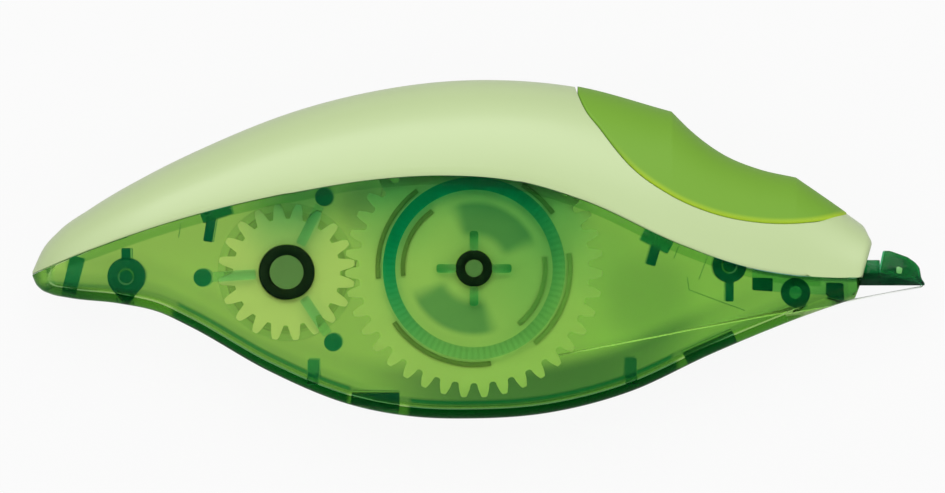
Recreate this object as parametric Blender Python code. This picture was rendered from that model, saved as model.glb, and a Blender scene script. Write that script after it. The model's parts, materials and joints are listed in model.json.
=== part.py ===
"""Correction tape dispenser, lying on its left side.

X runs along the body to the tip, Y towards the finger grip, Z up through the thickness.
Sizes are in millimetres and each finished mesh is scaled to metres.
"""

import math

import bmesh
import bpy
import numpy as np
from mathutils import Matrix

MM = 0.001

# Thickness of the case and its walls
HALF_WIDTH = 8.0
MID = HALF_WIDTH
WALL = 1.2
COVER_WALL = 1.4
GAP = 0.3
ROOF_WALL = 1.0
PARTING = 0.2
UNDER_COVER = COVER_WALL + GAP
ROOF_INSIDE = UNDER_COVER + ROOF_WALL
RIGHT_INSIDE = 2 * HALF_WIDTH - WALL

# Side view of the body, from the tail to the nose
BACK = [
    (-53.5, -2.6),
    (-52.4, -0.2),
    (-50.5, 2.05),
    (-46.65, 4.83),
    (-39.45, 9.03),
    (-32.25, 12.51),
    (-22.65, 16.35),
    (-13.05, 18.87),
    (-3.0, 20.2),
    (3.0, 20.28),
    (11.4, 19.5),
    (23.11, 16.41),
]
SCOOP = [(23.11, 16.41), (25.35, 14.19), (29.0, 11.45), (33.6, 9.5), (38.06, 8.49)]
FRONT = [(38.06, 8.49), (42.15, 5.67), (48.5, 1.15)]
BELLY = [
    (-53.5, -3.4),
    (-52.6, -4.8),
    (-49.05, -5.85),
    (-43.0, -6.5),
    (-38.2, -7.55),
    (-34.65, -9.21),
    (-25.05, -14.61),
    (-15.45, -18.57),
    (-8.0, -20.0),
    (-1.05, -20.25),
    (8.55, -19.53),
    (18.15, -17.01),
    (27.75, -12.57),
    (37.35, -8.61),
    (48.5, -4.7),
]
SEAM = [
    (-53.5, -3.0),
    (-47.0, -0.33),
    (-37.05, 3.15),
    (-20.85, 7.04),
    (-11.85, 8.43),
    (-4.05, 8.84),
    (4.95, 8.07),
    (12.63, 5.79),
    (23.91, 0.63),
    (31.95, -2.13),
    (38.0, -3.15),
    (48.5, -3.45),
]
PAD_EDGE = [
    (11.3, 20.2),
    (12.19, 17.81),
    (14.6, 14.27),
    (17.81, 10.25),
    (22.6, 6.65),
    (27.45, 4.47),
    (33.88, 3.19),
    (40.31, 3.34),
    (45.0, 4.3),
]
NOSE_FRONT = [(45.1, -6.4), (45.86, -4.19), (45.95, -3.4), (47.07, 1.6), (46.75, 2.35), (46.2, 4.0)]
TAIL_TAPER_FROM = -34.0
TAIL_TAPER_LENGTH = 19.8
NOSE_TAPER_FROM = 20.0
NOSE_TAPER_LENGTH = 27.0
NOSE_NARROWING = 0.3
BELLY_ROUND = 4.5
BELLY_DEPTH = 3.0
BELLY_ROUND_MOST = 0.9
BELLY_FLAT_LEAST = 0.4
SEAM_MARGIN = 0.3
ARCH_POWER = 2.6
SCOOP_FLATNESS = 0.7
SCOOP_SPREAD = 9.0
COARSE = (7.5, 4)
TAIL_STATIONS = (-53.5, -53.2, -52.5, -51.3, -49.5, -47.0)
SCOOP_STATIONS = (SCOOP[0][0], 25.0, 27.5, 30.3, 34.0, SCOOP[-1][0])

# Where the hollows inside the body start and end
COVER_INSIDE_X = (-50.8, 45.2)
UNDER_COVER_X = (-49.5, 41.0)
LOW_ROOM_X = (-50.5, 45.2)
HIGH_ROOM_X = (-47.0, 44.0)
THROUGH = (-1.0, 17.0)
BITE = 0.4

# Cuts at the nose for the head and the tape: low and high corner in X and Y
NOSE_SLOT_WIDTH = 7.4
NECK_WAY = ((43.0, -6.0), (49.0, -0.9))
SHANK_WAY = ((32.0, -5.7), (49.0, 2.0))
TAPE_WAY = ((38.8, -9.0), (49.0, -5.0))
TROUGH_X = (31.0, 39.0)
TROUGH_TOP = -5.5
TAPE_WAY_Z = (5.0, 11.0)

# Gear train: the supply gear drives the take-up gear
SUPPLY = (-0.57, -2.29)
MESH_ANGLE = math.radians(181.15)
SUPPLY_TEETH = 39
TAKE_UP_TEETH = 20
CENTRE_DISTANCE = 22.4
MODULE = 2 * CENTRE_DISTANCE / (SUPPLY_TEETH + TAKE_UP_TEETH)
TAKE_UP = (
    SUPPLY[0] + CENTRE_DISTANCE * math.cos(MESH_ANGLE),
    SUPPLY[1] + CENTRE_DISTANCE * math.sin(MESH_ANGLE),
)
PRESSURE_ANGLE = math.radians(20)
BACKLASH = 0.2
SUPPLY_TIP = 15.43
SUPPLY_ROOT = 13.75
TAKE_UP_TIP = 8.2
TAKE_UP_ROOT = 6.4
SUPPLY_PHASE = math.radians(265.4)

# Heights of the layers inside the case
GEAR = (12.0, 13.5)
UPPER_FLANGE = (10.9, 11.6)
TAPE = (5.5, 10.5)
CORE_FOOT = 5.3
LOWER_FLANGE = (4.2, 5.0)
RIB_FOOT = 13.9
AXLE = (1.5, 14.5)
GEAR_ROOM = (11.7, 14.65)
GEAR_ROOM_MARGIN = 0.6

# Axles, spools and rolls
SUPPLY_AXLE = (1.06, 2.2)
TAKE_UP_AXLE = (2.04, 3.3)
SUPPLY_BORE = 2.5
TAKE_UP_BORE = 3.6
SUPPLY_CORE = (8.3, 9.1)
SUPPLY_ROLL = (9.4, 11.9)
SUPPLY_FLANGE_R = 12.8
TAKE_UP_CORE = (5.5, 6.3)
TAKE_UP_ROLL = (6.6, 7.1)
TAKE_UP_FLANGE_R = 8.3
CLUTCH = (3.25, 3.75)
KIDNEY = (4.8, 8.1)
LUG_CIRCLE = 4.85
LUG_R = 0.4
GUIDE = (-7.0, 13.2)
GUIDE_R = (1.0, 1.9)
GUIDE_PIN_FOOT = 2.65
SLEEVE_FOOT = 6.0
SLEEVE_WALL = 0.5
CLUTCH_Z = (6.6, 10.4)
ROLLER_TOP = 10.7
SPIGOT_LENGTH = 2.5
COLLAR_WALL = 1.2
WRAP = math.radians(300)

# Head, its ring hub and the strip of tape
HUB = (37.95, -5.2)
HUB_R = (0.78, 1.6)
TIP = (52.85, -4.2)
TIP_R = 0.14
CHEEK = 0.7
HEAD_INSIDE = 5.4
HEAD_FOOT = -4.34
SHANK_WIDTH = 5.6
SHANK_SHAPE = [(32.8, -2.75), (43.7, -3.85), (45.6, -2.9), (45.6, HEAD_FOOT), (43.7, -5.8), (32.8, -4.9)]
PLATFORM_BACK = [(45.3, HEAD_FOOT), (45.3, -2.85), (48.4, -2.85), (52.6, TIP[1] + TIP_R)]
CHEEK_BACK = [(48.05, HEAD_FOOT), (48.05, -2.78), (48.6, -0.16), (49.3, -0.2), (51.38, -0.94)]
CHEEK_FRONT = [(52.3, -1.6), (52.79, -2.21), (53.01, -3.49), (53.4, -4.05), (53.4, HEAD_FOOT)]
RAIL_SHAPE = [(45.3, HEAD_FOOT), (48.3, HEAD_FOOT), (48.3, -1.29), (45.9, -1.29), (45.3, -1.9)]
HEAD_WINDOW = [(50.07, -3.07), (50.91, -3.07), (50.91, -2.07), (50.07, -2.07)]
TAPE_THICK = 0.12
TAPE_GAP = 0.15

# Posts, ribs and tabs that both case halves carry
TAIL_BOSS = (-42.15, -3.27)
TAIL_BOSS_R = 2.28
ROUND_BOSS = (29.96, -1.95)
ROUND_BOSS_R = 2.04
POST_CIRCLE = 10.05
POST_R = 1.1
POST_ANGLES = [63.5, 183.7, -56.4]
SPOKE_WIDTH = 1.2
GUSSET = (2.5, 4.5)
GUSSET_WIDTH = 1.05
RING_RIB = (9.4, 10.9)
# Straight ribs, T pegs and snap tabs: start, end and width
RIB_BARS = [
    ((-48.0, -0.9), (-49.0, -5.0), 1.75),
    ((-42.15, -1.45), (-42.15, 0.15), 1.1),
    ((-31.9, 3.9), (-32.4, 0.9), 1.1),
    ((-33.1, 3.65), (-29.6, 4.85), 1.2),
    ((-19.8, -16.0), (-19.8, -13.2), 1.4),
    ((-15.2, -18.1), (-9.5, -18.1), 1.9),
    ((18.2, -16.0), (18.2, -13.0), 1.4),
    ((21.2, 0.5), (20.5, -1.9), 1.2),
    ((19.6, 1.8), (22.9, 0.1), 1.5),
    ((24.7, -13.0), (30.6, -10.35), 1.3),
    ((29.96, -3.6), (29.96, -6.25), 1.0),
]
# Arc ribs on the supply gear's face: radius, first and last angle
GEAR_RIB_WIDTH = 0.55
GEAR_RIB_HEIGHT = 0.8
GEAR_RIBS = [
    (8.5, 126, 186),
    (8.5, -51, 9),
    (11.5, 126, 186),
    (11.5, -51, 9),
    (11.5, 214, 280),
    (11.5, 35, 60),
]

COLOURS = {
    "case_green": (0.25, 0.49, 0.06),
    "cover_green": (0.58, 0.73, 0.42),
    "grip_lime": (0.21, 0.45, 0.05),
    "head_green": (0.01, 0.13, 0.04),
    "axle_dark": (0.012, 0.02, 0.012),
    "gear_lime": (0.42, 0.6, 0.14),
    "spool_pale": (0.5, 0.62, 0.3),
    "clutch_grey": (0.08, 0.09, 0.08),
    "tape_white": (0.85, 0.86, 0.82),
    "carrier_film": (0.6, 0.64, 0.5),
    "roller_white": (0.75, 0.76, 0.72),
}
ROUGHNESS = {
    "case_green": 0.18,
    "cover_green": 0.22,
    "grip_lime": 0.6,
    "head_green": 0.2,
    "carrier_film": 0.25,
    "tape_white": 0.55,
}
SEE_THROUGH = {"case_green": 0.8, "head_green": 0.6, "gear_lime": 0.3}
DEFAULT_ROUGHNESS = 0.4


def smooth_curve(points):
    """A function of x through the points, with the slope at each taken from its neighbours."""
    xs, ys = np.array(points, float).T
    slopes = np.gradient(ys, xs)

    def value(x):
        i = int(np.clip(np.searchsorted(xs, x) - 1, 0, len(xs) - 2))
        span = xs[i + 1] - xs[i]
        t = float(np.clip((x - xs[i]) / span, 0, 1))
        rise = (2 * t**3 - 3 * t**2 + 1) * ys[i] + (3 * t**2 - 2 * t**3) * ys[i + 1]
        lean = (t**3 - 2 * t**2 + t) * slopes[i] + (t**3 - t**2) * slopes[i + 1]
        return float(rise + span * lean)

    return value


back_part = smooth_curve(BACK)
scoop_part = smooth_curve(SCOOP)
front_part = smooth_curve(FRONT)
belly = smooth_curve(BELLY)
seam = smooth_curve(SEAM)
pad_edge = smooth_curve(PAD_EDGE)


def back(x):
    """Height of the upper outline: back, finger scoop, then the slope down to the nose."""
    if x <= SCOOP[0][0]:
        return back_part(x)
    if x <= FRONT[0][0]:
        return scoop_part(x)
    return front_part(x)


def half_width(x):
    """Half the thickness: even along the middle, rounded in at the tail and eased in at the nose."""
    if x < TAIL_TAPER_FROM:
        t = (TAIL_TAPER_FROM - x) / TAIL_TAPER_LENGTH
        return HALF_WIDTH * math.sqrt(1 - t**3)
    t = float(np.clip((x - NOSE_TAPER_FROM) / NOSE_TAPER_LENGTH, 0, 1))
    return HALF_WIDTH * (1 - NOSE_NARROWING * t * t * (3 - 2 * t))


def body_ring(x, inset, arch_steps):
    """One closed section across the body at x, drawn in by inset all round."""
    low = belly(x) + inset
    high = back(x) - inset
    wide = half_width(x) - inset
    margin = SEAM_MARGIN * (high - low)
    base = float(np.clip(seam(x), low + margin, high - margin))
    foot = min(BELLY_ROUND - inset / 2, BELLY_ROUND_MOST * (base - low))
    flat = max(wide - BELLY_DEPTH, BELLY_FLAT_LEAST * wide)
    middle = (SCOOP[0][0] + SCOOP[-1][0]) / 2
    power = ARCH_POWER + SCOOP_FLATNESS * math.exp(-(((x - middle) / SCOOP_SPREAD) ** 2))
    half = []
    for a in np.linspace(0, math.pi / 2, 4):
        half.append((low + foot * (1 - math.cos(a)), flat + (wide - flat) * math.sin(a)))
    for a in np.linspace(0, math.pi / 2, arch_steps + 1)[:-1]:
        rise = math.sin(a) ** (2 / power)
        half.append((base + (high - base) * rise, wide * math.cos(a) ** (2 / power)))
    half.append((high, 0.0))
    mirrored = [(y, -z) for y, z in reversed(half[:-1])]
    return [(x, y, MID + z) for y, z in half + mirrored]


def stations(start, end, spacing):
    """Places along the body: close together at the tail, then even, with the outline's kinks kept."""
    tail = [x for x in TAIL_STATIONS if x >= start]
    first = tail[-1] + spacing
    kinks = [x for x in SCOOP_STATIONS if start < x < end]
    even = np.linspace(first, end, max(2, round((end - first) / spacing)))
    clear = [x for x in even if all(abs(x - k) > 0.45 * spacing for k in kinks) or x == end]
    return sorted(set([start] + tail + kinks + [float(x) for x in clear]))


def finished(name, bm):
    """An object in the scene from a bmesh, with its faces turned outwards."""
    bmesh.ops.recalc_face_normals(bm, faces=bm.faces)
    mesh = bpy.data.meshes.new(name)
    bm.to_mesh(mesh)
    bm.free()
    obj = bpy.data.objects.new(name, mesh)
    bpy.context.scene.collection.objects.link(obj)
    return obj


def loft(name, rings):
    """A closed solid over rings of equal count, with a flat cap at each end."""
    bm = bmesh.new()
    loops = [[bm.verts.new(point) for point in ring] for ring in rings]
    count = len(loops[0])
    for here, there in zip(loops, loops[1:]):
        for i in range(count):
            j = (i + 1) % count
            bm.faces.new((here[i], here[j], there[j], there[i]))
    bm.faces.new(loops[0])
    bm.faces.new(loops[-1])
    bmesh.ops.triangulate(bm, faces=bm.faces)
    return finished(name, bm)


def body(name, inset, start, end, spacing=5.0, arch_steps=6):
    rings = [body_ring(x, inset, arch_steps) for x in stations(start, end, spacing)]
    return loft(name, rings)


def prism(name, outline, low, high):
    """An outline in X and Y carried up from low to high."""
    bm = bmesh.new()
    face = bm.faces.new([bm.verts.new((x, y, low)) for x, y in outline])
    raised = bmesh.ops.extrude_face_region(bm, geom=[face])["geom"]
    tops = [item for item in raised if isinstance(item, bmesh.types.BMVert)]
    bmesh.ops.translate(bm, verts=tops, vec=(0, 0, high - low))
    return finished(name, bm)


def turned(name, profile, steps):
    """A ring turned about its own Z axis from a closed profile of radius and height."""
    bm = bmesh.new()
    points = [bm.verts.new((r, 0, z)) for r, z in profile]
    edges = [bm.edges.new((a, b)) for a, b in zip(points, points[1:] + points[:1])]
    around = {"cent": (0, 0, 0), "axis": (0, 0, 1), "angle": 2 * math.pi}
    bmesh.ops.spin(bm, geom=points + edges, steps=steps, use_merge=True, **around)
    bmesh.ops.remove_doubles(bm, verts=bm.verts, dist=0.001)
    return finished(name, bm)


def tube(name, radii, heights, steps=28):
    inner, outer = radii
    low, high = heights
    return turned(name, [(inner, low), (outer, low), (outer, high), (inner, high)], steps)


def circle(centre, radius, steps=16):
    turns = np.linspace(0, 2 * math.pi, steps, endpoint=False)
    return [(centre[0] + radius * math.cos(t), centre[1] + radius * math.sin(t)) for t in turns]


def sector(radii, degrees, steps=6):
    """Outline of a piece of a ring between two angles, about the origin."""
    turns = np.radians(np.linspace(*degrees, steps))
    inner = [(radii[0] * math.cos(t), radii[0] * math.sin(t)) for t in turns]
    outer = [(radii[1] * math.cos(t), radii[1] * math.sin(t)) for t in turns]
    return inner + outer[::-1]


def bar(start, end, width):
    """Outline of a straight bar between two points."""
    along = np.subtract(end, start) / math.dist(start, end)
    side = np.array((-along[1], along[0])) * width / 2
    corners = [start + side, end + side, end - side, start - side]
    return [(float(x), float(y)) for x, y in corners]


def box(name, corners, heights):
    """A block between two opposite corners in X and Y and two heights."""
    (west, south), (east, north) = corners
    return prism(name, [(west, south), (east, south), (east, north), (west, north)], *heights)


def nose_slot():
    """Heights of the slot in the nose that the head stands in."""
    return MID - NOSE_SLOT_WIDTH / 2, MID + NOSE_SLOT_WIDTH / 2


def combine(target, tool, operation):
    """Applies one Boolean with the tool, which is used up."""
    modifier = target.modifiers.new("combine", "BOOLEAN")
    modifier.operation = operation
    modifier.solver = "EXACT"
    modifier.object = tool
    bpy.context.view_layer.update()
    graph = bpy.context.evaluated_depsgraph_get()
    mesh = bpy.data.meshes.new_from_object(target.evaluated_get(graph))
    target.modifiers.clear()
    target.data = mesh
    bpy.data.objects.remove(tool)
    return target


def copy_of(obj):
    twin = obj.copy()
    twin.data = obj.data.copy()
    bpy.context.scene.collection.objects.link(twin)
    return twin


def curve_side(curve, start, end, shift, far):
    """Outline of everything on one side of a curve of x, moved by shift, out to the level far."""
    xs = np.linspace(start, end, 36)
    edge = [(float(x), curve(float(x)) + shift) for x in xs]
    return edge + [(end, far), (start, far)]


def pad_outline(shift):
    """Side view of the pad's area, grown outwards by shift."""
    xs = np.linspace(PAD_EDGE[0][0], PAD_EDGE[-1][0], 22)
    edge = np.array([(x, pad_edge(float(x))) for x in xs])
    along = np.gradient(edge, axis=0)
    along /= np.linalg.norm(along, axis=1)[:, None]
    grown = edge + shift * np.column_stack([along[:, 1], -along[:, 0]])
    outline = [(float(x), float(y)) for x, y in grown]
    return outline + [(outline[-1][0] + 4, 12.0), (outline[-1][0] + 4, 26.0), (outline[0][0], 26.0)]


def full_body():
    """The outside of the whole case, with the nose cut to its slanted front."""
    solid = body("full_body", 0.0, BACK[0][0], FRONT[-1][0])
    front = NOSE_FRONT + [(60.0, 4.0), (60.0, -6.4)]
    return combine(solid, prism("front", front, *THROUGH), "DIFFERENCE")


def above_seam(name, shift):
    return prism(name, curve_side(seam, -60.0, 60.0, shift, 40.0), *THROUGH)


def below_seam(name, shift):
    return prism(name, curve_side(seam, -60.0, 60.0, shift, -40.0), *THROUGH)


def wall_of_back():
    """The layer that the cover and the pad share, as thick as the cover's wall."""
    layer = combine(full_body(), above_seam("above", GAP / 2), "INTERSECT")
    return combine(layer, body("inside", COVER_WALL, *COVER_INSIDE_X), "DIFFERENCE")


def make_top_cover():
    cover = wall_of_back()
    cover.name = "top_cover"
    combine(cover, prism("pad_place", pad_outline(GAP / 2), *THROUGH), "DIFFERENCE")
    return combine(cover, box("neck_way", NECK_WAY, nose_slot()), "DIFFERENCE")


def make_finger_grip():
    grip = wall_of_back()
    grip.name = "finger_grip"
    return combine(grip, prism("pad_shape", pad_outline(-GAP / 2), *THROUGH), "INTERSECT")


def make_case():
    """The hollow case before it is split: full size below the seam, stepped in under the cover."""
    case = combine(full_body(), below_seam("below", -GAP / 2), "INTERSECT")
    combine(case, body("roof", UNDER_COVER, *UNDER_COVER_X, *COARSE), "UNION")
    low = body("low_room", WALL, *LOW_ROOM_X, *COARSE)
    combine(low, below_seam("ledge", -WALL), "INTERSECT")
    combine(low, body("high_room", ROOF_INSIDE, *HIGH_ROOM_X, *COARSE), "UNION")
    combine(case, low, "DIFFERENCE")
    combine(case, box("shank_way", SHANK_WAY, nose_slot()), "DIFFERENCE")
    combine(case, box("tape_way", TAPE_WAY, TAPE_WAY_Z), "DIFFERENCE")
    combine(case, prism("trough", tape_trough(), *TAPE_WAY_Z), "DIFFERENCE")
    for centre, radius in ((SUPPLY, SUPPLY_TIP), (TAKE_UP, TAKE_UP_TIP)):
        room = prism("gear_room", circle(centre, radius + GEAR_ROOM_MARGIN, 32), *GEAR_ROOM)
        combine(case, room, "DIFFERENCE")
    return case


def tape_trough():
    """Side view of the channel in the belly wall, below the straight run of tape to the tip."""
    start, end = run_between(tape_wheels()[0], tape_wheels()[1])
    slope = (end[1] - start[1]) / (end[0] - start[0])
    floor = [(x, float(start[1] + slope * (x - start[0])) - GAP - TAPE_THICK) for x in TROUGH_X]
    return floor + [(x, TROUGH_TOP) for x in reversed(TROUGH_X)]


def post_places():
    return [
        (TAKE_UP[0] + POST_CIRCLE * math.cos(t), TAKE_UP[1] + POST_CIRCLE * math.sin(t))
        for t in np.radians(POST_ANGLES)
    ]


def full_height_outlines():
    """Posts, bosses, pegs and tabs that reach from each side wall to the parting line."""
    x, y = TAIL_BOSS
    r = TAIL_BOSS_R
    drop = [(x - 0.8 * r, y - 0.62 * r), (x + 0.2, y - 1.38 * r), (x + 0.8 * r, y - 0.62 * r)]
    outlines = [circle(TAIL_BOSS, r), drop, circle(ROUND_BOSS, ROUND_BOSS_R)]
    outlines.append(circle(HUB, HUB_R[0] - GAP, 12))
    outlines += [bar(*rib) for rib in RIB_BARS]
    outlines += [circle(place, POST_R, 14) for place in post_places()]
    return outlines


def wall_ribs():
    """Low ribs on the right wall: the hub's gussets and the spokes to the posts."""
    ribs = []
    for turn in np.radians((0, 90, 180, 270)):
        way = np.array((math.cos(turn), math.sin(turn)))
        start, end = (np.array(SUPPLY) + way * reach for reach in GUSSET)
        ribs.append(bar(start, end, GUSSET_WIDTH))
    for place in post_places():
        way = np.subtract(place, TAKE_UP) / POST_CIRCLE
        ribs.append(bar(np.array(TAKE_UP) + way * TAKE_UP_BORE, np.array(place), SPOKE_WIDTH))
    return ribs


def make_case_with_posts():
    """The whole case with every post and tab, each kept within the case's walls."""
    case = make_case()
    inside = body("inside", WALL / 2, LOW_ROOM_X[0], HIGH_ROOM_X[1], *COARSE)
    combine(inside, below_seam("under", -WALL / 2), "INTERSECT")
    foot = WALL - BITE
    for outline in full_height_outlines():
        piece = prism("post", outline, foot, 2 * MID - foot)
        combine(piece, copy_of(inside), "INTERSECT")
        combine(case, piece, "UNION")
    bpy.data.objects.remove(inside)
    return case


def make_shell(name, case, right):
    """One half of the case: spigots, then ribs around the right hubs or collars for the left flanges."""
    shell = copy_of(case)
    shell.name = name
    heights = (MID + PARTING / 2, THROUGH[1]) if right else (THROUGH[0], MID - PARTING / 2)
    combine(shell, box("half", ((-60, -30), (60, 30)), heights), "INTERSECT")
    foot, top = WALL - BITE, RIGHT_INSIDE + BITE
    for centre, axle in ((SUPPLY, SUPPLY_AXLE), (TAKE_UP, TAKE_UP_AXLE)):
        ends = (RIGHT_INSIDE - SPIGOT_LENGTH, top) if right else (foot, WALL + SPIGOT_LENGTH)
        combine(shell, prism("spigot", circle(centre, axle[0] - GAP), *ends), "UNION")
    if right:
        for outline in wall_ribs():
            combine(shell, prism("rib", outline, RIB_FOOT, top), "UNION")
        ring = tube("ring", RING_RIB, (RIB_FOOT, top), 48)
        ring.location = (*SUPPLY, 0)
        combine(shell, ring, "UNION")
    else:
        pin = circle(GUIDE, GUIDE_R[0] - GAP, 14)
        combine(shell, prism("guide_pin", pin, GUIDE_PIN_FOOT, TAPE[1]), "UNION")
        for centre, bore in ((SUPPLY, SUPPLY_BORE), (TAKE_UP, TAKE_UP_BORE)):
            collar = tube("collar", (bore, bore + COLLAR_WALL), (foot, LOWER_FLANGE[0] - GAP), 24)
            collar.location = (*centre, 0)
            combine(shell, collar, "UNION")
    return shell


def involute(angle):
    return math.tan(angle) - angle


def gear_outline(teeth, tip, root, phase):
    """Toothed outline about the origin, with involute flanks and a tooth centred at phase."""
    pitch = MODULE * teeth / 2
    base = pitch * math.cos(PRESSURE_ANGLE)
    half_tooth = (math.pi * MODULE - BACKLASH) / 4 / pitch + involute(PRESSURE_ANGLE)
    radii = np.linspace(max(root, base) + 0.02, tip, 3)
    flank = [(r, half_tooth - involute(math.acos(base / r))) for r in radii]
    flank.insert(0, (root, flank[0][1] + 0.12 * MODULE / pitch))
    points = []
    for tooth in range(teeth):
        centre = phase + 2 * math.pi * tooth / teeth
        points += [(r, centre - half) for r, half in flank]
        points += [(r, centre + half) for r, half in reversed(flank)]
    return [(r * math.cos(t), r * math.sin(t)) for r, t in points]


def take_up_phase():
    """The angle that puts a gap of the small gear where the large gear's tooth meets it."""
    ahead = SUPPLY_PHASE - MESH_ANGLE
    gap = MESH_ANGLE + math.pi - ahead * SUPPLY_TEETH / TAKE_UP_TEETH
    return gap + math.pi / TAKE_UP_TEETH


def make_supply_gear():
    gear = prism("supply_gear", gear_outline(SUPPLY_TEETH, SUPPLY_TIP, SUPPLY_ROOT, SUPPLY_PHASE), *GEAR)
    combine(gear, prism("bore", circle((0, 0), SUPPLY_BORE, 32), 0, 20), "DIFFERENCE")
    sleeve = tube("sleeve", (SUPPLY_BORE, SUPPLY_BORE + SLEEVE_WALL), (SLEEVE_FOOT, GEAR[0] + BITE), 32)
    combine(gear, sleeve, "UNION")
    for radius, start, end in GEAR_RIBS:
        radii = (radius - GEAR_RIB_WIDTH / 2, radius + GEAR_RIB_WIDTH / 2)
        rib = prism("arc_rib", sector(radii, (start, end)), GEAR[1] - BITE, GEAR[1] + GEAR_RIB_HEIGHT)
        combine(gear, rib, "UNION")
    return gear


def make_supply_spool():
    core_low, core_high = SUPPLY_CORE
    hub_low = CLUTCH[1] + GAP
    hub_high = hub_low + SLEEVE_WALL
    spool = turned(
        "supply_spool",
        [
            (hub_low, SLEEVE_FOOT),
            (hub_high, SLEEVE_FOOT),
            (hub_high, UPPER_FLANGE[0]),
            (core_low, UPPER_FLANGE[0]),
            (core_low, CORE_FOOT),
            (core_high, CORE_FOOT),
            (core_high, UPPER_FLANGE[0]),
            (SUPPLY_FLANGE_R, UPPER_FLANGE[0]),
            (SUPPLY_FLANGE_R, UPPER_FLANGE[1]),
            (hub_low, UPPER_FLANGE[1]),
        ],
        40,
    )
    for turn in (20, 200):
        window = prism("kidney", sector(KIDNEY, (turn, turn + 85)), UPPER_FLANGE[0] - 1, UPPER_FLANGE[1] + 1)
        combine(spool, window, "DIFFERENCE")
    return spool


def lug_places():
    return [(LUG_CIRCLE * math.cos(t), LUG_CIRCLE * math.sin(t)) for t in np.radians((90, 210, 330))]


def make_take_up_gear():
    outline = gear_outline(TAKE_UP_TEETH, TAKE_UP_TIP, TAKE_UP_ROOT, take_up_phase())
    gear = prism("take_up_gear", outline, *GEAR)
    combine(gear, prism("bore", circle((0, 0), TAKE_UP_BORE, 32), 0, 20), "DIFFERENCE")
    sleeve = tube("sleeve", (TAKE_UP_BORE, TAKE_UP_BORE + SLEEVE_WALL), (SLEEVE_FOOT, GEAR[0] + BITE), 32)
    combine(gear, sleeve, "UNION")
    for place in lug_places():
        combine(gear, prism("lug", circle(place, LUG_R, 10), UPPER_FLANGE[0], GEAR[0] + BITE), "UNION")
    return gear


def make_take_up_spool():
    hub_low = TAKE_UP_BORE + SLEEVE_WALL + GAP
    core_low, core_high = TAKE_UP_CORE
    spool = turned(
        "take_up_spool",
        [
            (hub_low, UPPER_FLANGE[0]),
            (core_low, UPPER_FLANGE[0]),
            (core_low, CORE_FOOT),
            (core_high, CORE_FOOT),
            (core_high, UPPER_FLANGE[0]),
            (TAKE_UP_FLANGE_R, UPPER_FLANGE[0]),
            (TAKE_UP_FLANGE_R, UPPER_FLANGE[1]),
            (hub_low, UPPER_FLANGE[1]),
        ],
        36,
    )
    reach = (hub_low - GAP) / LUG_CIRCLE, (LUG_CIRCLE + LUG_R + GAP) / LUG_CIRCLE
    for place in lug_places():
        start, end = (np.array(place) * share for share in reach)
        notch = bar(start, end, 2 * LUG_R + 2 * GAP)
        combine(spool, prism("notch", notch, UPPER_FLANGE[0] - 1, UPPER_FLANGE[1] + 1), "DIFFERENCE")
    return spool


def run_between(first, second):
    """Ends of the straight stretch of tape between two wheels, each (centre, radius, turning)."""
    (ca, ra, ta), (cb, rb, tb) = first, second
    apart = np.subtract(cb, ca)
    heading = math.atan2(apart[1], apart[0]) + math.asin((ta * ra - tb * rb) / math.hypot(*apart))
    side = np.array((math.sin(heading), -math.cos(heading)))
    return np.array(ca) + ta * ra * side, np.array(cb) + tb * rb * side


def arc_points(wheel, start, end, step=math.radians(12)):
    """Points around a wheel from one angle to another in the way that it turns."""
    centre, radius, turning = wheel
    sweep = (turning * (end - start)) % (2 * math.pi)
    turns = start + turning * np.linspace(0, sweep, max(2, math.ceil(sweep / step) + 1))
    return [np.array(centre) + radius * np.array((math.cos(t), math.sin(t))) for t in turns]


def angle_at(wheel, point):
    return math.atan2(point[1] - wheel[0][1], point[0] - wheel[0][0])


def strip(name, path):
    """The tape as a thin upright band along a path in X and Y."""
    path = np.array(path)
    along = np.gradient(path, axis=0)
    along /= np.linalg.norm(along, axis=1)[:, None]
    side = np.column_stack([-along[:, 1], along[:, 0]]) * TAPE_THICK / 2
    rings = []
    for near, far in zip(path + side, path - side):
        rings.append([(*near, TAPE[0]), (*far, TAPE[0]), (*far, TAPE[1]), (*near, TAPE[1])])
    return loft(name, rings)


def tape_wheels():
    """What the tape goes round, in order, each (centre, radius at the tape's middle, turning)."""
    clear = TAPE_GAP + TAPE_THICK / 2
    return [
        (SUPPLY, SUPPLY_ROLL[1] + clear, 1),
        (TIP, TIP_R + clear, 1),
        (GUIDE, GUIDE_R[1] + clear, 1),
        (TAKE_UP, TAKE_UP_ROLL[1] + clear, -1),
    ]


def make_tape_runs():
    """The white tape out to the tip, and the bare carrier back to the take-up roll."""
    roll, tip, guide, spent = tape_wheels()
    off_roll, on_tip = run_between(roll, tip)
    off_tip, on_guide = run_between(tip, guide)
    off_guide, on_spent = run_between(guide, spent)
    leaves = angle_at(roll, off_roll)
    path = arc_points(roll, leaves - WRAP, leaves)
    path.append(on_tip)
    feed = strip("tape_feed_run", path)
    turn = math.radians(15)
    path = arc_points(tip, angle_at(tip, on_tip) + turn, angle_at(tip, off_tip), math.radians(30))
    path += arc_points(guide, angle_at(guide, on_guide), angle_at(guide, off_guide), math.radians(15))
    arrives = angle_at(spent, on_spent)
    path += arc_points(spent, arrives, arrives - WRAP)
    return feed, strip("tape_return_run", path)


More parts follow.
